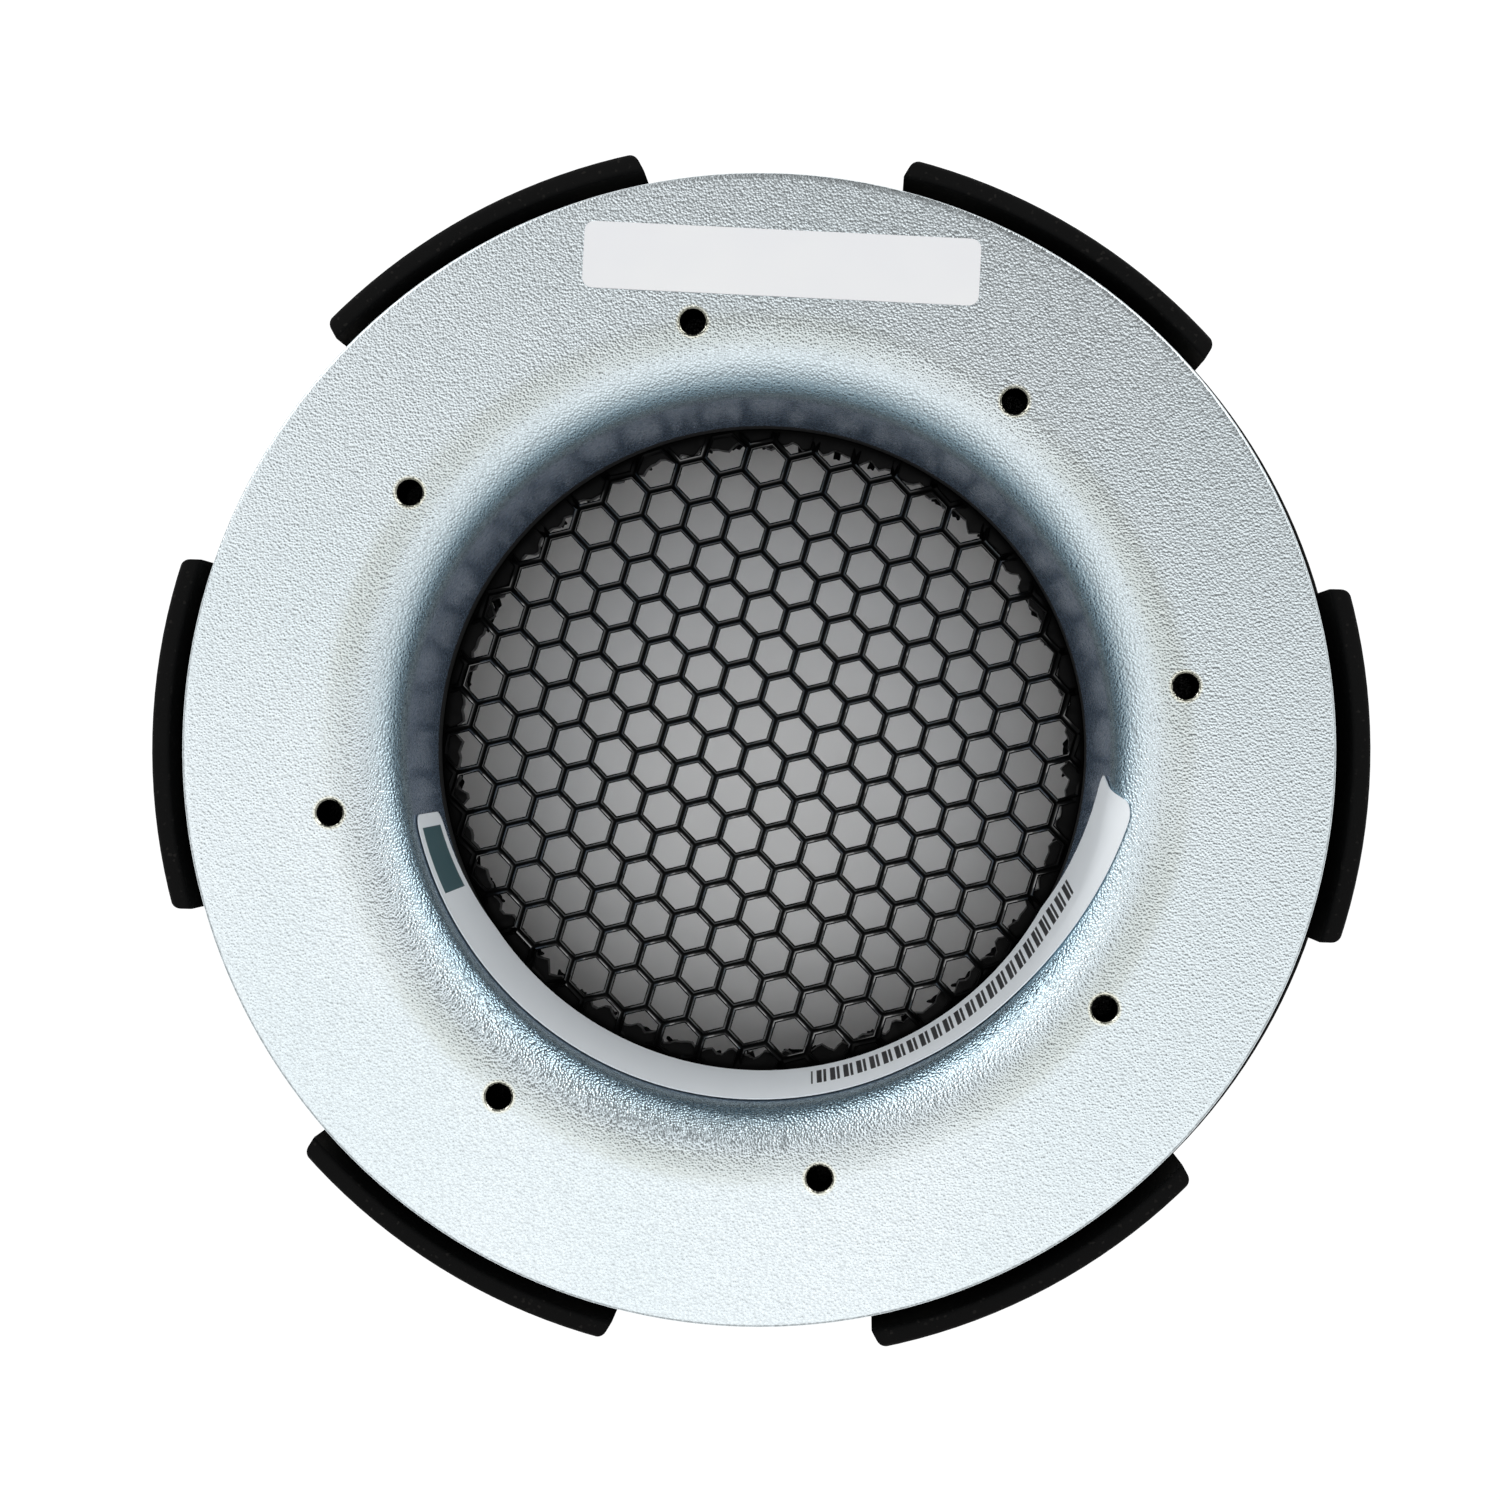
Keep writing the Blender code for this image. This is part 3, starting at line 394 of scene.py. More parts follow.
nickel = make_metal("nickel", (0.70, 0.68, 0.63), (0.62, 0.59, 0.53), 0.20, (1, 1, 1))
titanium = make_metal("titanium", (0.46, 0.44, 0.42), (0.40, 0.38, 0.36), 0.34, (1, 1, 0.05))
tinned = make_metal("tinned_brass", (0.72, 0.66, 0.50), (0.62, 0.54, 0.36), 0.28, (1, 1, 0.1))
copper = make_metal("enamelled_copper", (0.58, 0.25, 0.11), (0.48, 0.18, 0.07), 0.26, (0.3, 0.3, 3))
print("finishes:", nickel.name, titanium.name, tinned.name, copper.name)

# %% [markdown]
# Ceramic, rubber and paper
#
# The dome is unglazed ceramic: pale grey, smooth, with a soft sheen. The surround is matte rubber
# with a slight bloom, and the label on the plate is white paper. All three drift between two close
# colours and have a fine grain.

# %% Ceramic, rubber and paper finishes
def make_plain(name, roughness, patches, colours, grains, strength, depth):
    """The material, its shader and the colour before anything is printed on it."""
    made, shader, place = new_finish(name, roughness)
    tint = mixed(drifted(place, patches), *colours)
    fill(shader, {"Base Color": tint})
    bumped(shader, grained(place, grains)["Height"], strength, depth)
    return made, shader, tint


def make_paper(name, *colours):
    return make_plain(name, 0.50, 70.0, colours, 3500.0, 0.15, 0.02)


ceramic = make_plain("ceramic", 0.36, 45.0, ((0.91,) * 3, (0.94,) * 3), 5000.0, 0.12, 0.02)[0]
rubber_tints = ((0.012, 0.012, 0.013), (0.024, 0.024, 0.025))
rubber = make_plain("rubber", 0.66, 110.0, rubber_tints, 3000.0, 0.3, 0.03)[0]
paper = make_paper("label_paper", (0.80, 0.81, 0.83), (0.82, 0.83, 0.84))[0]
print("finishes:", ceramic.name, rubber.name, paper.name)

# %% [markdown]
# The spider is cotton dipped in resin. Its threads run round the axis and along the radius here, so
# the weave is made from the polar place and follows the corrugations.

# %% Cloth finish
THREADS_ROUND = 420.0
THREAD_STEP = 0.65


def make_cloth():
    made, shader, place = new_finish("resin_cloth", 0.78)
    spot = turned_place(place)
    warp = maths("SINE", times(spot["Angle"], THREADS_ROUND))
    weft = maths("SINE", times(spot["Radius"], FULL_TURN / (THREAD_STEP * MM)))
    threads = maths("MAXIMUM", warp, weft)
    resin = mixed(drifted(place, 120.0), (0.44, 0.30, 0.12), (0.36, 0.23, 0.08))
    fill(shader, {"Base Color": mixed(ranged(threads, -0.2, 1.0), (0.16, 0.10, 0.04), resin)})
    bumped(shader, threads, 0.6, 0.12)
    return made


cloth = make_cloth()
print("finish:", cloth.name)

# %% [markdown]
# The strip in the throat is paper too, with a plain dark block and a row of plain bars. Its paper is painted
# whiter and bluer than the plate label's, as painted light for its place in the dim throat. The block and
# bars are drawn in the strip's own UV map, where U runs along it and V across it, because the strip is bent.
# Every second bar is a broad one.

# %% Printed paper finish
STRIP_LENGTH = 99.0
STRIP_WIDTH = 13.6
BAR_STEP = 0.72
BAR_SLIM = 0.42
BAR_EXTRA = 0.34


def make_printed_paper():
    # Painted light: this paper is lighter and bluer than the plate label's, to stand in for light in the dim
    # throat.
    made, shader, brightened_white = make_paper("printed_paper", (0.88, 0.92, 0.95), (0.90, 0.94, 0.97))
    flat = add(shader.id_data, "TexCoord", {}).outputs["UV"]
    flat = add(shader.id_data, "SeparateXYZ", {0: flat}).outputs
    u = times(flat[0], STRIP_LENGTH)
    v = times(flat[1], STRIP_WIDTH)
    block = times(inside(u, 1.4, 8.4), inside(v, 1.7, 11.6))
    inked = mixed(block, brightened_white, (0.035, 0.095, 0.110))
    count = maths("DIVIDE", u, BAR_STEP)
    broad = times(maths("PINGPONG", maths("FLOOR", count), 1.0), BAR_EXTRA)
    bars = maths("LESS_THAN", maths("FRACT", count), maths("ADD", broad, BAR_SLIM))
    bars = times(bars, inside(u, 53.4, 88.5), inside(v, 5.0, 11.2))
    fill(shader, {"Base Color": mixed(bars, inked, (0.020, 0.020, 0.022))})
    return made


printed_paper = make_printed_paper()
print("finish:", printed_paper.name)

# %% [markdown]
# Helpers for modelling
#
# Most pieces are turned: a profile is drawn point by point beside the axis and spun round it, as
# on a lathe. A few are cut from sheet: an outline is drawn, filled and pulled up. Both start from
# a plane whose corners are merged to one point, which is then extruded along the drawing.

# %% Draw, turn and pull
LATHE_STEPS = 160
WELD = 0.001 * MM


def bare():
    bpy.ops.object.select_all(action="DESELECT")


def mode(name):
    bpy.ops.object.mode_set(mode=name)


def only(piece):
    """Selects one piece, and nothing else."""
    bare()
    piece.select_set(True)
    bpy.context.view_layer.objects.active = piece


def drawn(name, points, closed):
    """A line through points in millimetres, left in edit mode with all of it selected."""
    bare()
    bpy.ops.mesh.primitive_plane_add(size=MM, calc_uvs=False)
    piece = bpy.context.object
    piece.name = name
    route = [Vector(point) * MM for point in points]
    mode("EDIT")
    bpy.ops.mesh.select_mode(type="VERT")
    bpy.ops.mesh.select_all(action="SELECT")
    bpy.ops.mesh.merge(type="CENTER")
    bpy.ops.transform.translate(value=route[0])
    for start, end in zip(route, route[1:] + route[: int(closed)]):
        bpy.ops.mesh.extrude_vertices_move(TRANSFORM_OT_translate={"value": end - start})
    bpy.ops.mesh.select_all(action="SELECT")
    bpy.ops.mesh.remove_doubles(threshold=WELD)
    return piece


def welded(piece):
    """Closes the seams of a piece, turns its faces outwards and leaves edit mode."""
    bpy.ops.mesh.select_all(action="SELECT")
    bpy.ops.mesh.remove_doubles(threshold=WELD)
    bpy.ops.mesh.normals_make_consistent(inside=False)
    mode("OBJECT")
    return piece


def turned(name, profile, steps=LATHE_STEPS, closed=True):
    """A profile of (radius, height) points, spun round the axis."""
    piece = drawn(name, [(radius, 0, height) for radius, height in profile], closed)
    bpy.ops.mesh.spin(steps=steps, angle=FULL_TURN, center=(0, 0, 0), axis=(0, 0, 1))
    return welded(piece)


def peg(name, radius, start, end, steps=24):
    """A round peg on the axis, to cut with."""
    return turned(name, [(0, start), (radius, start), (radius, end), (0, end)], steps, closed=False)


def pulled(name, outline, bottom, top):
    """An outline of (x, y) points, filled and pulled up from one height to another."""
    piece = drawn(name, [(x, y, bottom) for x, y in outline], True)
    bpy.ops.mesh.edge_face_add()
    bpy.ops.mesh.extrude_region_move(TRANSFORM_OT_translate={"value": (0, 0, (top - bottom) * MM)})
    return welded(piece)


print("one lathe turn has", LATHE_STEPS, "steps")

# %% [markdown]
# Helpers for cutting, copying and placing
#
# Holes and windows are cut with Boolean modifiers, which are applied at once. A piece that repeats
# is modelled once and copied, each copy with a mesh of its own. At the end a piece is shaded,
# gets its finish, rides on its body and stands for its solid.

# %% Cut, copy and settle
SOFT_ANGLE = math.radians(50)


def applied(piece, kind, **options):
    """Adds a modifier to a piece and applies it."""
    only(piece)
    modifier = piece.modifiers.new(kind.lower(), kind)
    for name, value in options.items():
        setattr(modifier, name, value)
    bpy.ops.object.modifier_apply(modifier=modifier.name)


def cut(piece, cutter, operation="DIFFERENCE"):
    applied(piece, "BOOLEAN", operation=operation, solver="EXACT", object=cutter)
    bpy.data.objects.remove(cutter)


def softened(piece, width, segments=2):
    """Rounds the sharp edges of a piece."""
    applied(piece, "BEVEL", width=width * MM, segments=segments, limit_method="ANGLE",
            angle_limit=SOFT_ANGLE)


def placed(piece, place):
    """Moves a piece and puts its place in its mesh."""
    only(piece)
    piece.matrix_world = place
    bpy.ops.object.transform_apply(location=True, rotation=True, scale=True)
    return piece


def moved(x, y, z=0):
    return Matrix.Translation(Vector((x, y, z)) * MM)


def round_axis(count, start, radius):
    """Places on a circle round the axis, with X pointing outwards."""
    turns = [start + FULL_TURN * index / count for index in range(count)]
    return [Matrix.Rotation(turn, 4, "Z") @ moved(radius, 0) for turn in turns]


def copied(piece, name, places):
    """Copies of a piece at the places, numbered from 1. The pattern itself is used up."""
    made = []
    for index, place in enumerate(places, 1):
        only(piece)
        bpy.ops.object.duplicate()
        twin = bpy.context.object
        twin.name = name.format(index)
        made.append(placed(twin, place))
    bpy.data.objects.remove(piece)
    return made


def joined(pieces):
    only(pieces[0])
    for piece in pieces[1:]:
        piece.select_set(True)
    bpy.ops.object.join()
    return pieces[0]


def finished(piece, finish, slot, *nodes, smooth=32):
    """Shades a piece, gives it its finish and lets it stand for its solids."""
    only(piece)
    bpy.ops.object.shade_smooth_by_angle(angle=math.radians(smooth))
    piece.data.materials.clear()
    piece.data.materials.append(finish)
    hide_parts(*nodes)
    print(f"{piece.name}: {len(piece.data.polygons)} faces")


def settled(piece, finish, slot, *nodes, body="driver", smooth=32):
    finished(piece, finish, slot, *nodes, smooth=smooth)
    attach(piece, body)


print("helpers ready")

# %% [markdown]
# Profiles are made of a few forms: arcs, rings with rounded edges, and the zigzag of a thread.

# %% Forms of profiles
def arc(centre, radius, start, end, steps=4):
    """Points on part of a circle, with angles in degrees."""
    made = []
    for index in range(steps + 1):
        angle = math.radians(start + (end - start) * index / steps)
        made.append((centre[0] + radius * math.cos(angle), centre[1] + radius * math.sin(angle)))
    return made


def ring_profile(bore, radius, bottom, top, edge):
    """The profile of a ring with rounded edges."""
    outer = radius - edge
    inner = bore + edge
    return (
        arc((outer, top - edge), edge, 90, 0, 3)
        + arc((outer, bottom + edge), edge, 0, -90, 3)
        + arc((inner, bottom + edge), edge, -90, -180, 3)
        + arc((inner, top - edge), edge, 180, 90, 3)
    )


def ring(name, node, bore, edge):
    """A ring with rounded edges that fills the box of a solid."""
    low, high = box(node)
    return turned(name, ring_profile(bore, high.x, low.z, high.z, edge))


def zigzag(first, second, start, limit, pitch):
    """A thread between two radii, from a height up or down past a limit."""
    made = [(first, start)]
    while (limit - made[-1][1]) * pitch > 0:
        height = made[-1][1]
        made += [(second, height + pitch / 2), (first, height + pitch)]
    return made


print("forms ready")

# %% [markdown]
# The rear yoke
#
# Plate, bell mouth and hollow pole are one turned piece of steel. The bell mouth is a quarter of an
# ellipse that runs smoothly into the tapered throat, as in the solid, with many more steps. The
# flat face gets a ring of points near each border, so that its shading stays flat up to the curve.

# %% Turn the yoke
PLATE_RADIUS = 56.0
PLATE_FRONT = 38.6
POLE_RADIUS = 37.0
POLE_END = 19.5
MOUTH_RADIUS = 40.8
MOUTH_DEPTH = 4.0
THROAT_RADIUS = 33.1
THROAT_DEPTH = 18.7
TAPER = math.tan(math.radians(6.3))
mouth_span = MOUTH_RADIUS - THROAT_RADIUS - TAPER * (THROAT_DEPTH - MOUTH_DEPTH)
MOUTH_REACH = math.sqrt(mouth_span**2 - (TAPER * MOUTH_DEPTH) ** 2)
MOUTH_END = math.atan2(MOUTH_REACH, TAPER * MOUTH_DEPTH)
MOUTH_STEPS = 28
YOKE_STEPS = 192


def mouth_point(angle):
    radius = MOUTH_RADIUS - MOUTH_REACH * math.sin(angle)
    return radius, rear_face - MOUTH_DEPTH * (1 - math.cos(angle))


mouth = [mouth_point(MOUTH_END * index / MOUTH_STEPS) for index in range(MOUTH_STEPS + 1)]
yoke_profile = (
    [(PLATE_RADIUS - 0.7, rear_face)]
    + arc((PLATE_RADIUS - 0.3, rear_face - 0.3), 0.3, 90, 0)
    + arc((PLATE_RADIUS - 0.6, PLATE_FRONT + 0.6), 0.6, 0, -90)
    + arc((POLE_RADIUS + 1.0, PLATE_FRONT - 1.0), 1.0, 90, 180)
    + arc((POLE_RADIUS - 0.4, POLE_END + 0.4), 0.4, 0, -90)
    + arc((THROAT_RADIUS + 0.4, POLE_END + 0.4), 0.4, -90, -180)
    + [(THROAT_RADIUS, rear_face - THROAT_DEPTH)]
    + mouth[::-1]
    + [(MOUTH_RADIUS + 0.6, rear_face)]
)
yoke = turned("yoke", yoke_profile, YOKE_STEPS)
print(f"yoke: {len(yoke.data.polygons)} faces before its holes")

# %% [markdown]
# The eight holes are tapped for M3 screws, right at the start of the bell mouth. Each cutter is a
# turned piece too: a countersink, and below it a zigzag wall that leaves ridges like a thread.

# %% Cut the tapped holes
TAP_RADIUS = 1.25
THREAD_RADIUS = 1.45
THREAD_PITCH = 0.5
TAP_END = 38.0
SINK = 0.20

tap_thread = zigzag(TAP_RADIUS, THREAD_RADIUS, rear_face - SINK, TAP_END, -THREAD_PITCH)
tap_head = [(0, rear_face + 1), (TAP_RADIUS + SINK + 1, rear_face + 1)]
tap = turned("tap", tap_head + tap_thread + [(0, tap_thread[-1][1])], 28, closed=False)
cut(yoke, joined(copied(tap, "tap_{}", round_axis(HOLE_COUNT, HOLE_START, HOLE_CIRCLE))))
settled(yoke, zinc, "zinc", "rear_yoke")

# %% [markdown]
# The hexagonal mesh
#
# The mesh is punched sheet, dipped in black coat. One cell is enough: a hexagon is inset by half
# a strand, its middle is taken out, the ring is pulled down to the sheet's thickness and the inner
# edges are bevelled, so that the coat looks rounded. The outer points sink a little, which leaves a
# groove along the middle of each strand.

# %% One cell of the mesh
NET_PITCH = 4.29
NET_STRAND = 0.84
NET_THICKNESS = 0.60
NET_SOFT = 0.15
NET_GROOVE = 0.22


def pick(piece, kind, test):
    """Selects in edit mode the faces, edges or points that pass a test."""
    only(piece)
    mode("EDIT")
    bpy.ops.mesh.select_mode(type=kind)
    bpy.ops.mesh.select_all(action="DESELECT")
    mode("OBJECT")
    mesh = piece.data
    for item in {"FACE": mesh.polygons, "EDGE": mesh.edges, "VERT": mesh.vertices}[kind]:
        item.select = test(item)
    mode("EDIT")


def hex_cell(name):
    outside = NET_PITCH / math.sqrt(3) * MM
    bare()
    bpy.ops.mesh.primitive_circle_add(vertices=6, radius=outside, fill_type="NGON")
    cell = bpy.context.object
    cell.name = name
    mode("EDIT")
    bpy.ops.mesh.select_all(action="SELECT")
    bpy.ops.mesh.inset(thickness=NET_STRAND / 2 * MM)
    bpy.ops.mesh.delete(type="FACE")
    bpy.ops.mesh.select_all(action="SELECT")
    bpy.ops.mesh.extrude_region_move(TRANSFORM_OT_translate={"value": (0, 0, -NET_THICKNESS * MM)})
    mode("OBJECT")
    wall = (NET_PITCH - NET_STRAND / 2) / 2 * MM
    pick(cell, "FACE", lambda face: abs(face.normal.z) < 0.1 and face.center.xy.length > wall)
    bpy.ops.mesh.delete(type="FACE")
    mode("OBJECT")
    points = cell.data.vertices
    corner = (NET_PITCH - NET_STRAND / 2) / math.sqrt(3) * MM

    def lines_the_hole(edge):
        ends = [points[index].co for index in edge.vertices]
        return abs(ends[0].z - ends[1].z) < WELD and max(end.xy.length for end in ends) < corner

    pick(cell, "EDGE", lines_the_hole)
    bpy.ops.mesh.bevel(offset=NET_SOFT * MM, segments=2, affect="EDGES")
    mode("OBJECT")
    seam = outside - WELD
    middle = -NET_THICKNESS / 2 * MM
    for side in (1, -1):
        pick(cell, "VERT", lambda point: (
            point.co.xy.length > seam and (point.co.z - middle) * side > 0
        ))
        bpy.ops.transform.translate(value=(0, 0, -side * NET_GROOVE * MM))
        mode("OBJECT")
    return cell


print(f"cells of {NET_PITCH} mm")

# %% [markdown]
# Two Array modifiers lay the cells side by side and weld them. The outline is then cut with a
# Boolean, as with a punch, and leaves stubs. At last the crests of the strands are marked for the
# coat: an attribute on the points is one there and nought elsewhere.

# %% Lay out the mesh
NET_TURN = math.radians(-15.2)
NET_SHIFT = Vector((0.09, -1.52, 0))
NET_WELD = 0.01 * MM
CREST = 0.03
BACK_MESH_RADIUS = 36.6


def hex_net(name, radius, top):
    """A round grille of hexagonal mesh, flat, with its upper side at a height."""
    net = hex_cell(name)
    reach = math.ceil(radius / NET_PITCH * 2 / math.sqrt(3)) + 1
    first = Vector((NET_PITCH, 0, 0))
    second = Vector((NET_PITCH / 2, NET_PITCH * math.sqrt(3) / 2, 0))
    for step in (first, second):
        applied(net, "ARRAY", count=2 * reach + 1, use_relative_offset=False,
                use_constant_offset=True, constant_offset_displace=step * MM,
                use_merge_vertices=True, merge_threshold=NET_WELD)
    middle = Matrix.Translation((first + second) * -reach * MM)
    lattice = Matrix.Translation((NET_SHIFT + Vector((0, 0, top))) * MM)
    placed(net, lattice @ Matrix.Rotation(NET_TURN, 4, "Z") @ middle)
    mode("EDIT")
    bpy.ops.mesh.select_mode(type="EDGE")
    bpy.ops.mesh.select_all(action="SELECT")
    bpy.ops.mesh.remove_doubles(threshold=NET_WELD)
    bpy.ops.mesh.select_all(action="DESELECT")
    bpy.ops.mesh.select_non_manifold()
    bpy.ops.mesh.bridge_edge_loops()
    welded(net)
    cut(net, peg(name + "_punch", radius, top + 1, top - 2, 144), "INTERSECT")
    return net


def marked(net, top, radius):
    """Marks the crests of the strands inside a radius, where the coat is glossy."""
    ridge = net.data.attributes.new("ridge", "FLOAT", "POINT")
    half = NET_THICKNESS / 2
    for point, mark in zip(net.data.vertices, ridge.data):
        crest = abs(point.co.z / MM - top + half) > half - CREST
        mark.value = float(crest and point.co.xy.length < radius * MM)


rear_net_top = box("rear_grille")[1].z - 0.1
back_mesh = hex_net("back_mesh", BACK_MESH_RADIUS, rear_net_top)
print(f"back_mesh: {len(back_mesh.data.polygons)} faces when flat")

# %% [markdown]
# The disc is larger than the throat. Its rim is folded over towards the front, a little past the
# upright, so the mesh grips the wall and the broken ends of its strands show through the outer
# cells. Blender's bend tool needs a window, so the rim is subdivided and its points are moved round
# the fold here. The fold varies a little round the rim, as a fold made by hand does. A ring with a
# ragged bore, below the fold, is the sheet's torn edge.

# %% Fold the rim of the rear mesh
FOLD_START = 32.08
FOLD_RADIUS = 0.60
FOLD_RUN = FOLD_RADIUS * math.pi / 2
SKIRT = 1.5
STUB_RADIUS = 0.8
STUB_LEAN = math.radians(48)
STUB_WAVER = math.radians(14)
RIM_BORE = 31.45
RIM_RADIUS = 33.08
RIM_LOW = 23.1
RIM_HIGH = 25.8
RIM_RAGGED = 0.22


def folded(spot, middle):
    """Where a point of the flat sheet comes to lie."""
    run = math.hypot(spot.x, spot.y) / MM - FOLD_START
    if run <= 0:
        return spot
    turn = math.atan2(spot.y, spot.x)
    lean = STUB_LEAN + STUB_WAVER * (math.sin(5 * turn + 1) + 0.6 * math.sin(13 * turn + 2))
    bend = min(run, FOLD_RUN) / FOLD_RADIUS
    drop = min(max(run - FOLD_RUN, 0), SKIRT)
    rest = max(run - FOLD_RUN - SKIRT, 0)
    tuck = min(rest / STUB_RADIUS, lean)
    tail = rest - STUB_RADIUS * tuck
    off = spot.z / MM - middle
    out = FOLD_START + FOLD_RADIUS * math.sin(bend) + off * math.sin(bend + tuck)
    out -= STUB_RADIUS * (1 - math.cos(tuck)) + tail * math.sin(tuck)
    up = middle - FOLD_RADIUS * (1 - math.cos(bend)) - drop + off * math.cos(bend + tuck)
    up -= STUB_RADIUS * math.sin(tuck) + tail * math.cos(tuck)
    return Vector((out * math.cos(turn), out * math.sin(turn), up)) * MM


pick(back_mesh, "VERT", lambda point: point.co.xy.length > (FOLD_START - 0.8) * MM)
bpy.ops.mesh.subdivide(number_cuts=2)
mode("OBJECT")
marked(back_mesh, rear_net_top, FOLD_START - 0.5)
for point in back_mesh.data.vertices:
    point.co = folded(point.co, rear_net_top - NET_THICKNESS / 2)
rim_ring = turned("rim_ring", ring_profile(RIM_BORE, RIM_RADIUS, RIM_LOW, RIM_HIGH, 0.15), 360)
for point in rim_ring.data.vertices:
    turn = math.atan2(point.co.y, point.co.x)
    ragged = math.sin(43 * turn) + math.sin(71 * turn + 1) + math.sin(101 * turn + 2)
    if point.co.xy.length < (RIM_BORE + 0.5) * MM:
        point.co.xy *= 1 + RIM_RAGGED * ragged / RIM_BORE
joined([back_mesh, rim_ring])
settled(back_mesh, dipped, "mesh", "rear_grille", smooth=50)

# %% [markdown]
# The front grille is a flat disc of the same mesh. A flat ring presses it into its seat.

# %% Front grille and its ring
front = box("front_grille")[1]
front_mesh = hex_net("front_mesh", front.x, front.z - 0.1)
marked(front_mesh, front.z - 0.1, front.x)
settled(front_mesh, dipped, "mesh", "front_grille", smooth=50)
settled(ring("mesh_ring", "grille_ring", 45.8, 0.25), powder, "black_coat", "grille_ring")

# %% [markdown]
# The motor
#
# Between the yoke and the front plate sit sixteen magnet discs, nickel plated. One disc is turned
# with rounded rims and copied round the axis. The front plate is a plain ring with six tapped holes
# for the screws that come through the front of the cage.

# %% Front plate and magnets
SCREW_COUNT = 6
SCREW_CIRCLE = 54.5
MAGNET_COUNT = 16
MAGNET_CIRCLE = 49.0
MAGNET_RADIUS = 6.5
MAGNET_EDGE = 0.5

gap_plate = ring("gap_plate", "front_plate", 39.3, 0.4)
bores = copied(peg("bore", 1.65, 20, 28, 28), "bore_{}", round_axis(SCREW_COUNT, 0, SCREW_CIRCLE))
cut(gap_plate, joined(bores))
settled(gap_plate, zinc, "zinc", "front_plate")

low, high = box("magnet_01")
disc_rim = ring_profile(-MAGNET_EDGE, MAGNET_RADIUS, low.z, high.z, MAGNET_EDGE)[:8]
disc = turned("disc", [(0, high.z)] + disc_rim + [(0, low.z)], 40, closed=False)
discs = copied(disc, "magnet_disc_{:02d}", round_axis(MAGNET_COUNT, 0, MAGNET_CIRCLE))
for index, piece in enumerate(discs, 1):
    settled(piece, nickel, "nickel", f"magnet_{index:02d}")

# %% [markdown]
# What moves
#
# Dome, former and winding are glued together and slide along the axis. The dome is a thin ceramic
# shell, hollow to the front, so its back is the bulge that shows through the rear mesh. The winding
# is turned from a scalloped profile, so every turn of wire catches the light.

# %% Dome, former and winding
DOME_EDGE = 36.5
DOME_BRIM = 38.8
DOME_DEPTH = 9.5
DOME_WALL = 0.7
DOME_STEPS = 26
COIL_BORE = 38.0
COIL_TURNS = 28
ball = (DOME_EDGE**2 + DOME_DEPTH**2) / (2 * DOME_DEPTH)
brim_low = box("dome")[0].z


def dome_front(share):
    radius = DOME_EDGE * share
    return radius, brim_low + DOME_DEPTH - ball + math.sqrt(ball**2 - radius**2)


cap = [dome_front(index / DOME_STEPS) for index in range(DOME_STEPS + 1)]
brim = arc((DOME_BRIM - 0.3, brim_low + 0.35), 0.3, -90, 90, 6)
back = [(radius, height + DOME_WALL) for radius, height in cap[::-1]]
shell = turned("ceramic_dome", cap + brim + back, LATHE_STEPS, closed=False)
settled(shell, ceramic, "dome", "dome", body="diaphragm")

low, high = box("coil_former")
tube = turned("coil_tube", ring_profile(37.6, 37.9, low.z, high.z, 0.1))
settled(tube, titanium, "former", "coil_former", body="diaphragm")

low, high = box("voice_coil")
wire = (high.z - low.z) / COIL_TURNS
winding_profile = [(COIL_BORE, high.z - 0.05), (COIL_BORE, low.z + 0.05)]
for index in range(COIL_TURNS):
    middle = (high.x - wire / 2, low.z + wire * (index + 0.5))
    winding_profile += arc(middle, wire / 2, -80, 80, 4)
winding = turned("winding", winding_profile)
settled(winding, copper, "winding", "voice_coil", body="diaphragm", smooth=50)

# %% [markdown]
# What bends
#
# The surround, the spider and the leads cross from the cage to the moving dome. Each point gets a
# weight: nought where it is glued to the cage, one where it is glued to the dome, and a smooth step
# between.

# %% Surround
def stretched(piece, still, moving):
    """Lets a piece bend between the radius that stays still and the radius that moves."""
    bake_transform(piece, "driver", "diaphragm", (still * MM, 0, 0), (moving * MM, 0, 0))
    weights = piece.data.attributes["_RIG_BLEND"].data
    for point, weight in zip(piece.data.vertices, weights):
        share = (still * MM - point.co.xy.length) / ((still - moving) * MM)
        share = min(max(share, 0), 1)
        weight.value = share * share * (3 - 2 * share)


ROLL_BORE = 36.7
ROLL_CIRCLE = 42.1
LIP = 0.6
low, high = box("surround")
lip_front = high.z - LIP
roll_height = lip_front - low.z
roll_front = arc((ROLL_CIRCLE, lip_front), roll_height, 180, 360, 24)
roll_back = [
    (ROLL_CIRCLE + (radius - ROLL_CIRCLE) * (roll_height - LIP) / roll_height, height + LIP)
    for radius, height in roll_front[::-1]
]
roll_profile = (
    [(ROLL_BORE, high.z), (ROLL_BORE, lip_front)]
    + roll_front
    + [(high.x, lip_front), (high.x, high.z)]
    + roll_back
)
roll = turned("rubber_roll", roll_profile)
finished(roll, rubber, "surround", "surround")
stretched(roll, 45.4, 39.2)

# %% [markdown]
# The spider is pressed cloth with four full waves, with a flat land glued to the ring outside and a
# short land glued to the former inside.

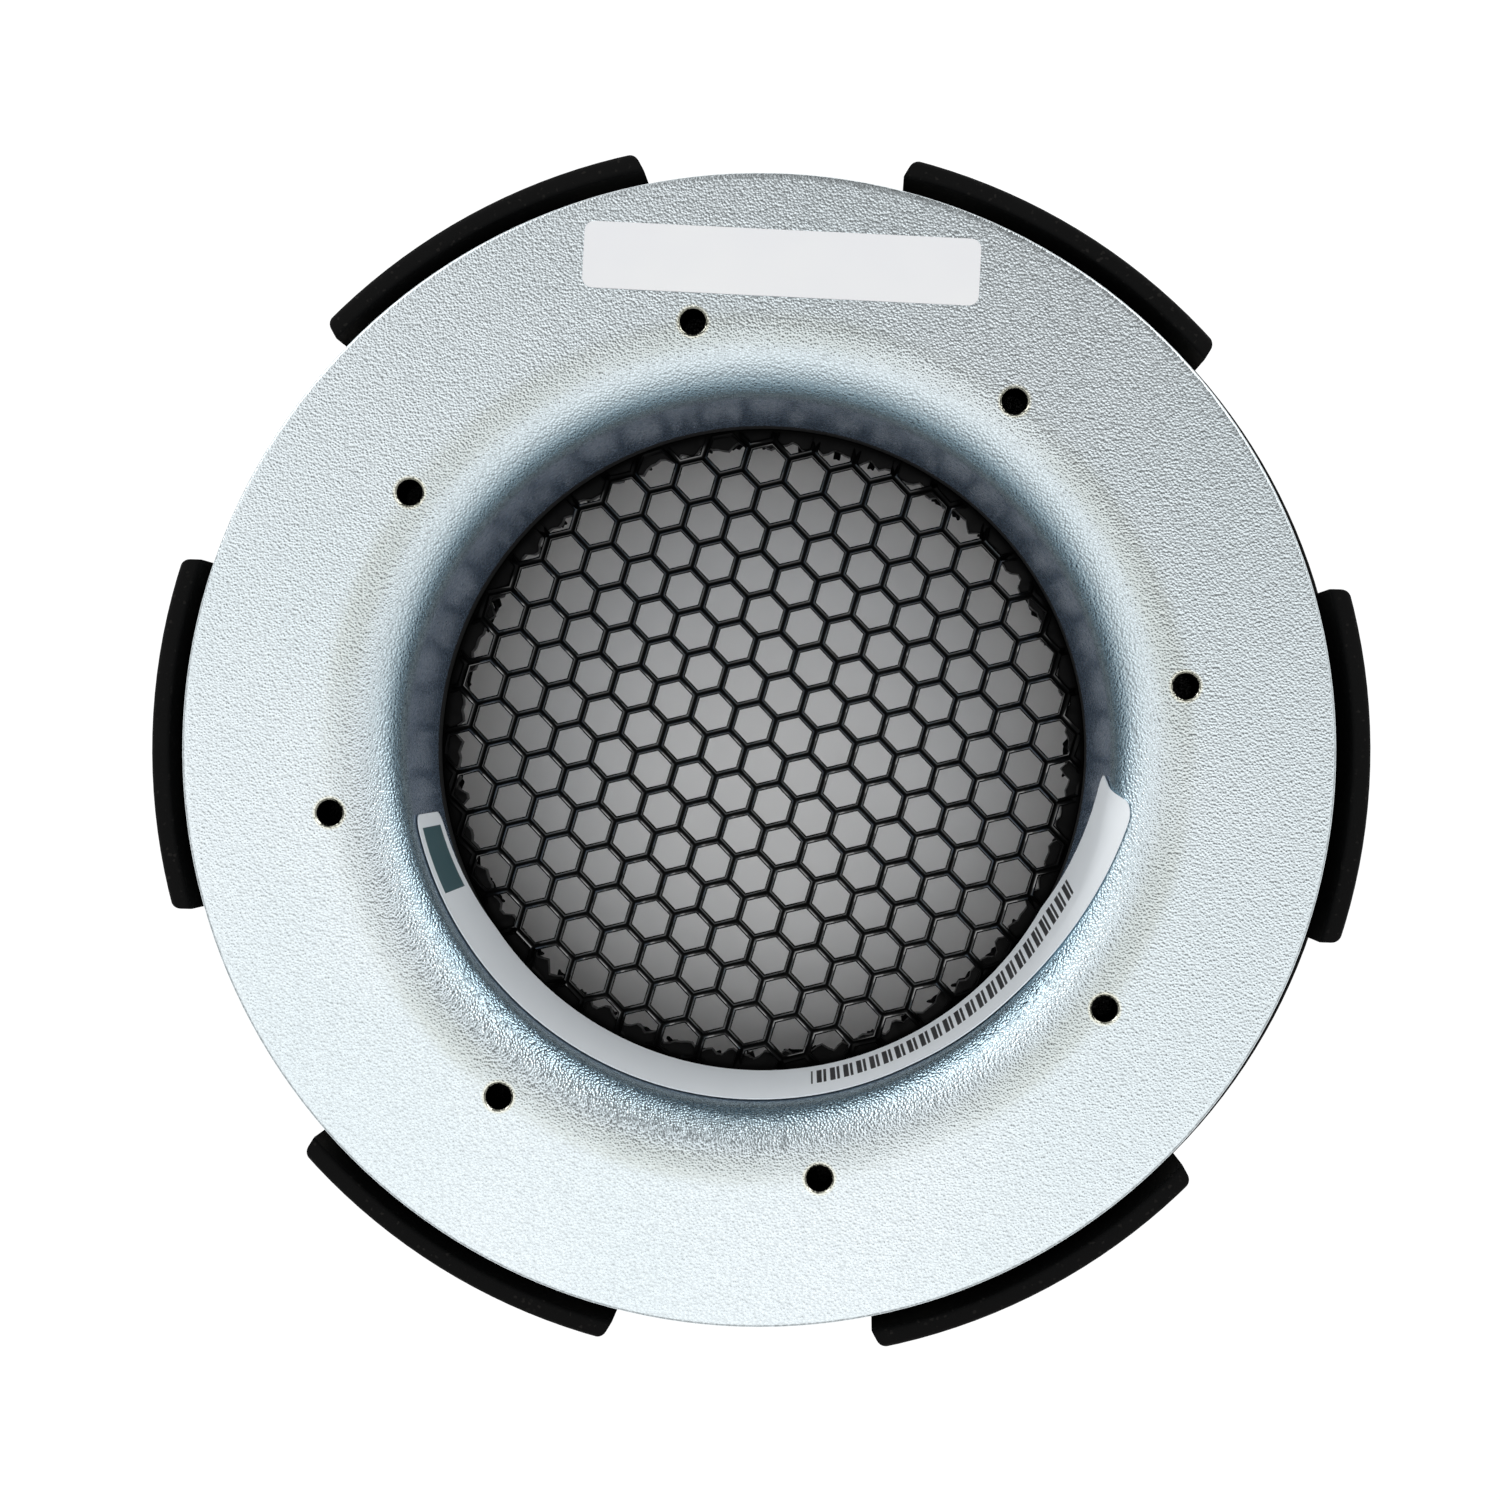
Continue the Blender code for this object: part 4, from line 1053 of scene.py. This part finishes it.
# %% Spider and clamp rings
SPIDER_BORE = 38.0
SPIDER_CLOTH = 0.5
SPIDER_WAVES = 4
SPIDER_STEPS = 80
WAVE_START = 39.5
WAVE_END = 48.0
spider_low, spider_high = box("spider")
spider_middle = (spider_low.z + spider_high.z - SPIDER_CLOTH) / 2
wave_height = (spider_high.z - spider_low.z - SPIDER_CLOTH) / 2
cloth_front = [(SPIDER_BORE, spider_middle)]
for index in range(SPIDER_STEPS + 1):
    share = index / SPIDER_STEPS
    lift = wave_height * math.sin(FULL_TURN * SPIDER_WAVES * share)
    cloth_front.append((WAVE_START + (WAVE_END - WAVE_START) * share, spider_middle - lift))
cloth_front.append((spider_high.x, spider_middle))
cloth_back = [(radius, height + SPIDER_CLOTH) for radius, height in cloth_front[::-1]]
waves = turned("cloth_spider", cloth_front + cloth_back)
finished(waves, cloth, "spider", "spider", smooth=50)
stretched(waves, 47.4, 39.4)
settled(ring("roll_clamp", "surround_ring", 46.0, 0.25), laminate, "resin", "surround_ring")
settled(ring("spider_seat", "spider_ring", 48.0, 0.25), laminate, "resin", "spider_ring")

# %% [markdown]
# The cage
#
# A front ring, six posts and six fingers are cast in one piece. The profile is turned first, with
# rounded edges where the fingers end, and then the six windows between the fingers are cut out of
# it. Their outline has the rounded corners that the fingers show from behind.

# %% Turn the cage and cut its windows
CAGE_RADIUS = 60.1
CAGE_BORE = 58.2
CAGE_STEPS = 192
FINGER_WIDTH = 34.613
FINGER_CORNER = 1.2
WINDOW_FOOT = 7.5
POST_BORE = 51.5
POST_END = 20.7
SEAT_RADIUS = 48.5
SEAT_BORE = 45.5
SEAT_DEPTH = 2.7
cage_high = box("chassis")[1]
rim = cage_high.x
finger_end = cage_high.z
cage_profile = (
    arc((SEAT_RADIUS + 0.5, 0.5), 0.5, 180, 270, 3)
    + [(rim - 1.0, 0)]
    + arc((rim - 0.8, 0.8), 0.8, -60, 0, 3)
    + arc((rim - 0.4, 2.6), 0.4, 0, 90, 3)
    + arc((CAGE_RADIUS + 0.5, 3.5), 0.5, 270, 180, 3)
    + arc((CAGE_RADIUS - 0.7, finger_end - 0.7), 0.7, 0, 90, 4)
    + arc((CAGE_BORE + 0.4, finger_end - 0.4), 0.4, 90, 180, 3)
    + [(CAGE_BORE, POST_END), (POST_BORE, POST_END), (POST_BORE, WINDOW_FOOT)]
    + [(SEAT_BORE, WINDOW_FOOT), (SEAT_BORE, SEAT_DEPTH), (SEAT_RADIUS, SEAT_DEPTH)]
)
cage = turned("cage", cage_profile, CAGE_STEPS)


def window_outline():
    """The window after the first finger, between the flanks of two fingers."""
    half = FINGER_WIDTH / 2
    corner = Vector((
        math.sqrt((CAGE_RADIUS - FINGER_CORNER) ** 2 - (half - FINGER_CORNER) ** 2),
        half - FINGER_CORNER,
    ))
    swing = math.degrees(math.atan2(corner.y, corner.x))
    flank = arc(corner, FINGER_CORNER, 90, swing, 6)
    outside = corner.normalized() * (rim + 1)
    side = [Vector(point) for point in flank + [outside]]
    mirror = Matrix.Rotation(FULL_TURN / SCREW_COUNT, 2) @ Matrix(((1, 0), (0, -1)))
    apex = Vector((half / math.tan(math.pi / SCREW_COUNT), half))
    return [apex] + side + [mirror @ point for point in side[::-1]]


window = pulled("window", window_outline(), WINDOW_FOOT, finger_end + 1)
for piece in copied(window, "window_{}", round_axis(SCREW_COUNT, 0, 0)):
    cut(cage, piece)
print(f"cage: {len(cage.data.polygons)} faces with its windows")

# %% [markdown]
# Six countersunk screws hold the cage to the front plate. Their holes are cut with the same profile
# that the screws have, a little larger, and one small hole takes the screw of the terminal strip. A
# bevel then softens the edges that the cutting left.

# %% Cut the screw holes of the cage
sink_profile = [(0, -1), (3.05, -1), (3.05, 0.65), (1.75, 2.05), (1.75, 22), (0, 22)]
sink = turned("sink", sink_profile, 36, closed=False)
for piece in copied(sink, "sink_{}", round_axis(SCREW_COUNT, 0, SCREW_CIRCLE)):
    cut(cage, piece)
pilot_low, pilot_high = box("terminal_screw")
pilot_place = (pilot_low + pilot_high) / 2
cut(cage, placed(peg("pilot", 1.15, 4, 9, 28), moved(pilot_place.x, pilot_place.y)))
softened(cage, 0.3)
settled(cage, powder, "black_coat", "chassis")

# %% [markdown]
# One screw is turned, with its cone, its plain shank and its thread, and gets a hexagonal socket.
# Then it is copied to the six holes.

# %% Screws
SHANK = 1.5
SHANK_END = 8.0
THREAD_CORE = 1.28
HEAD_RADIUS = 2.9
SOCKET_RADIUS = 1.2
SOCKET_DEPTH = 1.1
head_low, head_high = box("chassis_screw_1")
screw_profile = (
    [(0, head_low.z)]
    + arc((HEAD_RADIUS - 0.2, head_low.z + 0.2), 0.2, -90, 0, 2)
    + [(HEAD_RADIUS, 0.6), (SHANK, 2.0)]
    + zigzag(SHANK, THREAD_CORE, SHANK_END, head_high.z - 0.9, THREAD_PITCH)
    + [(1.1, head_high.z), (0, head_high.z)]
)
screw = turned("screw", screw_profile, 36, closed=False)
bare()
bpy.ops.mesh.primitive_cylinder_add(
    vertices=6, radius=SOCKET_RADIUS * MM, depth=2 * SOCKET_DEPTH * MM,
    location=(0, 0, head_low.z * MM),
)
socket = bpy.context.object
bpy.ops.object.transform_apply(location=True)
cut(screw, socket)
screws = copied(screw, "cage_screw_{}", round_axis(SCREW_COUNT, 0, SCREW_CIRCLE))
for index, piece in enumerate(screws, 1):
    settled(piece, steel, "black_steel", f"chassis_screw_{index}")

# %% [markdown]
# The terminals
#
# A strip of laminate sits in one window of the cage, with two riveted blades of different width and
# one screw. They are built along X and then turned to the foot of the picture.

# %% Terminal strip
TERMINAL_SIDE = math.radians(270)
TERMINAL_TURN = Matrix.Rotation(TERMINAL_SIDE, 4, "Z")
BOARD_START = 52.2
BOARD_END = 59.4
BOARD_HALF = (BOARD_START - FINGER_WIDTH) * math.tan(math.pi / SCREW_COUNT) - 0.7
BLADE_EDGE = 1.6
PLUS_WIDTH = 4.8
MINUS_WIDTH = 2.8
RIVET_X = 55.1
RIVET_BORE = 0.85
board_low, board_high = box("terminal_board")
plus_y = BOARD_HALF - BLADE_EDGE - PLUS_WIDTH / 2
minus_y = -(BOARD_HALF - BLADE_EDGE - MINUS_WIDTH / 2)
strip_screw_y = (plus_y - PLUS_WIDTH / 2 + minus_y + MINUS_WIDTH / 2) / 2

strip_outline = [
    (BOARD_START, -BOARD_HALF),
    (BOARD_END, -BOARD_HALF),
    (BOARD_END, BOARD_HALF),
    (BOARD_START, BOARD_HALF),
]
strip = pulled("terminal_strip", strip_outline, board_low.z, board_high.z)
for radius, across in ((RIVET_BORE, plus_y), (RIVET_BORE, minus_y), (1.15, strip_screw_y)):
    cut(strip, placed(peg("bore", radius, 7, 11), moved(RIVET_X, across)))
softened(strip, 0.12)
settled(placed(strip, TERMINAL_TURN), laminate, "resin", "terminal_board")

# %% [markdown]
# Each blade is an L that is drawn from the side and pulled to its width. Its upper corners are
# bevelled, so that a plug finds its way, and it has an eye to solder to. A domed rivet holds it.

# %% Blades and rivets
BLADE_START = 52.6
BLADE_END = 58.4
BLADE_SHEET = 0.8
BLADE_CORNER = 0.7
foot_z = board_high.z + 0.1


def blade(name, width, across, node):
    tip = box(node)[1].z
    outline = [
        (BLADE_START, foot_z),
        (BLADE_END, foot_z),
        (BLADE_END, tip),
        (BLADE_END - BLADE_SHEET, tip),
        (BLADE_END - BLADE_SHEET, foot_z + BLADE_SHEET),
        (BLADE_START, foot_z + BLADE_SHEET),
    ]
    piece = pulled(name, outline, -width / 2, width / 2)
    placed(piece, Matrix.Rotation(math.radians(90), 4, "X"))
    points = piece.data.vertices
    shoulder = (tip - 0.1) * MM
    pick(piece, "EDGE", lambda edge: (
        min(points[index].co.z for index in edge.vertices) > shoulder
        and abs(points[edge.vertices[0]].co.y - points[edge.vertices[1]].co.y) < WELD
    ))
    bpy.ops.mesh.bevel(offset=BLADE_CORNER * MM, segments=1, affect="EDGES")
    mode("OBJECT")
    cut(piece, placed(peg("bore", RIVET_BORE, 9, 12), moved(RIVET_X, 0)))
    lay = Matrix.Rotation(math.radians(90), 4, "Y")
    cut(piece, placed(peg("eye", 0.7, -2, 2), moved(BLADE_END, 0, tip - width / 2) @ lay))
    softened(piece, 0.12)
    placed(piece, TERMINAL_TURN @ moved(0, across))
    settled(piece, tinned, "terminal", node)


def rivet(name, across, node):
    low, high = box(node)
    seat = high.z - 0.6
    head = [(0, high.z), (0.4, high.z - 0.03), (0.8, high.z - 0.13), (1.1, high.z - 0.3)]
    profile = head + [(1.28, seat + 0.1), (1.3, seat), (0.8, seat), (0.8, low.z), (0, low.z)]
    piece = placed(turned(name, profile, 36, closed=False), TERMINAL_TURN @ moved(RIVET_X, across))
    settled(piece, tinned, "terminal", node, smooth=40)


blade("blade_plus", PLUS_WIDTH, plus_y, "terminal_plus")
blade("blade_minus", MINUS_WIDTH, minus_y, "terminal_minus")
rivet("rivet_head_plus", plus_y, "rivet_plus")
rivet("rivet_head_minus", minus_y, "rivet_minus")

# %% [markdown]
# The strip's screw is a small pan head with a cross slot, turned with its thread and cut twice with
# a thin block.

# %% Screw of the strip
PAN_CORE = 1.1
seat = pilot_high.z - 1.3
pan_profile = (
    [(0, pilot_high.z)]
    + arc((1.2, pilot_high.z - 0.6), 0.6, 90, 0, 5)
    + [(1.8, seat)]
    + zigzag(PAN_CORE, 0.92, seat, pilot_low.z + 0.8, -0.4)
    + [(0.7, pilot_low.z), (0, pilot_low.z)]
)
strip_screw = turned("strip_screw", pan_profile, 36, closed=False)
slot_outline = [(-0.95, -0.17), (0.95, -0.17), (0.95, 0.17), (-0.95, 0.17)]
for turn in (20, 110):
    groove = pulled("groove", slot_outline, pilot_high.z - 0.7, pilot_high.z + 1)
    cut(strip_screw, placed(groove, Matrix.Rotation(math.radians(turn), 4, "Z")))
placed(strip_screw, TERMINAL_TURN @ moved(RIVET_X, strip_screw_y))
settled(strip_screw, steel, "black_steel", "terminal_screw")

# %% [markdown]
# The leads are bent wire: a curve through five points with a round bevel, turned into a mesh. They
# leave the blades, dip under the spider and end on the coil's former, so they bend as well.

# %% Leads
LEAD_RADIUS = 0.45


def lead(name, across, node):
    turn = TERMINAL_SIDE + math.atan2(across, BLADE_START)
    start = BLADE_START / math.cos(turn - TERMINAL_SIDE) + LEAD_RADIUS
    low = foot_z + BLADE_SHEET + LEAD_RADIUS + 0.1
    high = spider_low.z - 1.45
    halfway = (low + high) / 2
    route = [(start, low), (50.6, halfway), (45.2, high), (42.1, high), (38.45, halfway)]
    bare()
    bpy.ops.curve.primitive_bezier_curve_add()
    piece = bpy.context.object
    piece.name = name
    spline = piece.data.splines[0]
    spline.bezier_points.add(len(route) - len(spline.bezier_points))
    for knot, (radius, height) in zip(spline.bezier_points, route):
        knot.handle_left_type = "AUTO"
        knot.handle_right_type = "AUTO"
        knot.co = Vector((radius * math.cos(turn), radius * math.sin(turn), height)) * MM
        knot.radius = 1.0
    piece.data.dimensions = "3D"
    piece.data.resolution_u = 10
    piece.data.bevel_depth = LEAD_RADIUS * MM
    piece.data.bevel_resolution = 4
    piece.data.use_fill_caps = True
    bpy.ops.object.convert(target="MESH")
    mode("EDIT")
    welded(piece)
    finished(piece, copper, "winding", node, smooth=50)
    stretched(piece, 50.0, 39.5)


lead("wire_plus", plus_y, "lead_plus")
lead("wire_minus", minus_y, "lead_minus")

# %% [markdown]
# The two labels
#
# The label on the plate is a rounded rectangle, a tenth of a millimetre thick. It is drawn, pulled
# up to its thickness and put in its place near the edge of the plate, a little askew.

# %% Plate label
LABEL_LENGTH = 38.5
LABEL_WIDTH = 6.5
LABEL_CIRCLE = 47.2
LABEL_ANGLE = math.radians(88.6)


def rounded_outline(length, width, corner):
    x = length / 2 - corner
    y = width / 2 - corner
    return (
        arc((x, y), corner, 0, 90, 6)
        + arc((-x, y), corner, 90, 180, 6)
        + arc((-x, -y), corner, 180, 270, 6)
        + arc((x, -y), corner, 270, 360, 6)
    )


low, high = box("plate_label")
sticker = pulled("plate_sticker", rounded_outline(LABEL_LENGTH, LABEL_WIDTH, 1.0), low.z, high.z)
softened(sticker, 0.04, 1)
crosswise = Matrix.Rotation(math.radians(-90), 4, "Z")
placed(sticker, Matrix.Rotation(LABEL_ANGLE, 4, "Z") @ moved(LABEL_CIRCLE, 0) @ crosswise)
settled(sticker, paper, "label", "plate_label")

# %% [markdown]
# The strip in the throat starts as a flat rounded rectangle too, is cut into small faces and gets
# its UV map from its flat place. Then each of its points is laid on the wall: U becomes the angle
# and V the way down the wall. Near its right end the strip was stuck on askew, so there it climbs
# over the bell mouth, its lower corner is drawn up and its end slants.

# %% Throat label
STRIP_START = math.radians(192.4)
STRIP_CORNER = 1.8
STRIP_PAPER = 0.12
STRIP_GAP = 0.15
STRIP_CUT = 1.4
STRIP_DROP = 1.6
CLIMB_START = 64.0
CLIMB = 0.155
TAIL_START = 84.0
TAIL = 0.75
HEAD_END = 14.0
HEAD = 0.25
SLANT = 0.08
WALL_STEP = 0.05

flat_strip = rounded_outline(STRIP_LENGTH, STRIP_WIDTH, STRIP_CORNER)
strip_label = pulled("throat_strip", flat_strip, 0, STRIP_PAPER)
mode("EDIT")
for axis, size in ((Vector((1, 0, 0)), STRIP_LENGTH), (Vector((0, 1, 0)), STRIP_WIDTH)):
    for index in range(1, int(size / STRIP_CUT)):
        bpy.ops.mesh.select_all(action="SELECT")
        place = axis * (index * STRIP_CUT - size / 2) * MM
        bpy.ops.mesh.bisect(plane_co=place, plane_no=axis)
welded(strip_label)
flat_map = strip_label.data.uv_layers.new(name="flat")
for loop in strip_label.data.loops:
    spot = strip_label.data.vertices[loop.vertex_index].co / MM
    flat_map.data[loop.index].uv = (spot.x / STRIP_LENGTH + 0.5, spot.y / STRIP_WIDTH + 0.5)


def wall(way):
    """A point of the wall, so far below the end of the bell mouth, and the way off the wall."""
    if way >= 0:
        down = Vector((-TAPER, -1)).normalized()
        return Vector(mouth[-1]) + down * way, Vector((down.y, -down.x))
    angle = MOUTH_END
    left = -way
    while left > 0:
        slope = math.hypot(MOUTH_REACH * math.cos(angle), MOUTH_DEPTH * math.sin(angle))
        angle -= min(left, WALL_STEP) / slope
        left -= WALL_STEP
    off = Vector((-MOUTH_DEPTH * math.sin(angle), MOUTH_REACH * math.cos(angle))).normalized()
    return Vector(mouth_point(angle)), off


def laid(spot):
    along = spot.x / MM + STRIP_LENGTH / 2
    share = spot.y / MM / STRIP_WIDTH + 0.5
    upper = STRIP_DROP - CLIMB * max(along - CLIMB_START, 0)
    lower = STRIP_DROP + STRIP_WIDTH - TAIL * max(along - TAIL_START, 0)
    lower -= HEAD * max(HEAD_END - along, 0)
    foot, off = wall(upper + (lower - upper) * share)
    radius, height = foot + off * (STRIP_GAP + spot.z / MM)
    along += SLANT * (share - 0.5) * max(along - CLIMB_START, 0)
    turn = STRIP_START + along / mouth[-1][0]
    return Vector((radius * math.cos(turn), radius * math.sin(turn), height)) * MM


for point in strip_label.data.vertices:
    point.co = laid(point.co)
settled(strip_label, printed_paper, "label", "throat_label", smooth=40)

# %% [markdown]
# Floor and light
#
# The driver lies on a plain white floor. The floor is mostly its own light, so that it stays white,
# and a little of it takes the light of the room, which keeps the shadow.

# %% Floor
bare()
bpy.ops.mesh.primitive_plane_add(size=4.0, location=(0, 0, -0.0002))
floor = bpy.context.object
floor.name = "floor"


def make_floor():
    made, shader, _ = new_finish("white_floor", 1.0)
    path = add(shader.id_data, "LightPath", {}).outputs
    seen = maths("MAXIMUM", path["Is Camera Ray"], path["Is Glossy Ray"])
    seen = maths("MAXIMUM", seen, path["Is Transmission Ray"])
    fill(shader, {
        "Specular IOR Level": 0.0,
        "Base Color": (0.20, 0.20, 0.20, 1.0),
        "Emission Strength": 1.0,
        "Emission Color": mixed(seen, (0.3,) * 3, (0.93,) * 3),
    })
    return made


floor.data.materials.append(make_floor())
print("floor ready")

# %% [markdown]
# The room is brightest overhead, as in a light tent, with one dim bar towards the top of the
# picture that gives the plate its darker side. Two equal soft lamps stand at the upper right and
# the upper left, and put bright patches on the bell mouth.

# %% Room and lamps
ROOM_BRIGHT = (1.0, 1.0, 1.0)
ROOM_DIM = (0.17, 0.17, 0.17)
ROOM_FOOT = 0.26
ROOM_RISE = 1.24
ROOM_POWER = 1.6
DIM_TURN = math.radians(72)
LAMP_REACH = 0.73
LAMP_HEIGHT = 0.34
LAMP_SIZE = 0.52
LAMP_POWER = 1.8


def make_room():
    made = bpy.data.worlds.new("room")
    made.use_nodes = True
    tree = made.node_tree
    look = add(tree, "TexCoord", {}).outputs["Generated"]
    part = add(tree, "VectorRotate", {"Vector": look, "Angle": -DIM_TURN}, rotation_type="Z_AXIS")
    x, y, z = add(tree, "SeparateXYZ", {0: part.outputs[0]}).outputs
    dim = times(ranged(x, -0.02, 0.14), ranged(maths("ABSOLUTE", y), 0.46, 0.16))
    rise = maths("POWER", maths("MAXIMUM", z, 0.0), ROOM_POWER)
    fill(tree.nodes["Background"], {
        "Color": mixed(dim, ROOM_BRIGHT, ROOM_DIM),
        "Strength": maths("MULTIPLY_ADD", rise, ROOM_RISE, ROOM_FOOT),
    })
    return made


def lamp(name, turn):
    place = Vector((LAMP_REACH * math.cos(turn), LAMP_REACH * math.sin(turn), LAMP_HEIGHT))
    bare()
    bpy.ops.object.light_add(type="AREA", location=place)
    made = bpy.context.object
    made.name = name
    made.data.size = LAMP_SIZE
    made.data.energy = LAMP_POWER
    made.rotation_euler = place.to_track_quat("Z", "Y").to_euler()
    print(f"{name}: {LAMP_POWER} W")


bpy.context.scene.world = make_room()
lamp("right_lamp", math.radians(46.6))
lamp("left_lamp", math.radians(136.6))

# %% [markdown]
# The end
#
# The picture is shown without a film look, so that colours come out as written.

# %% Finish
bpy.context.scene.view_settings.view_transform = "Standard"
bpy.context.view_layer.update()
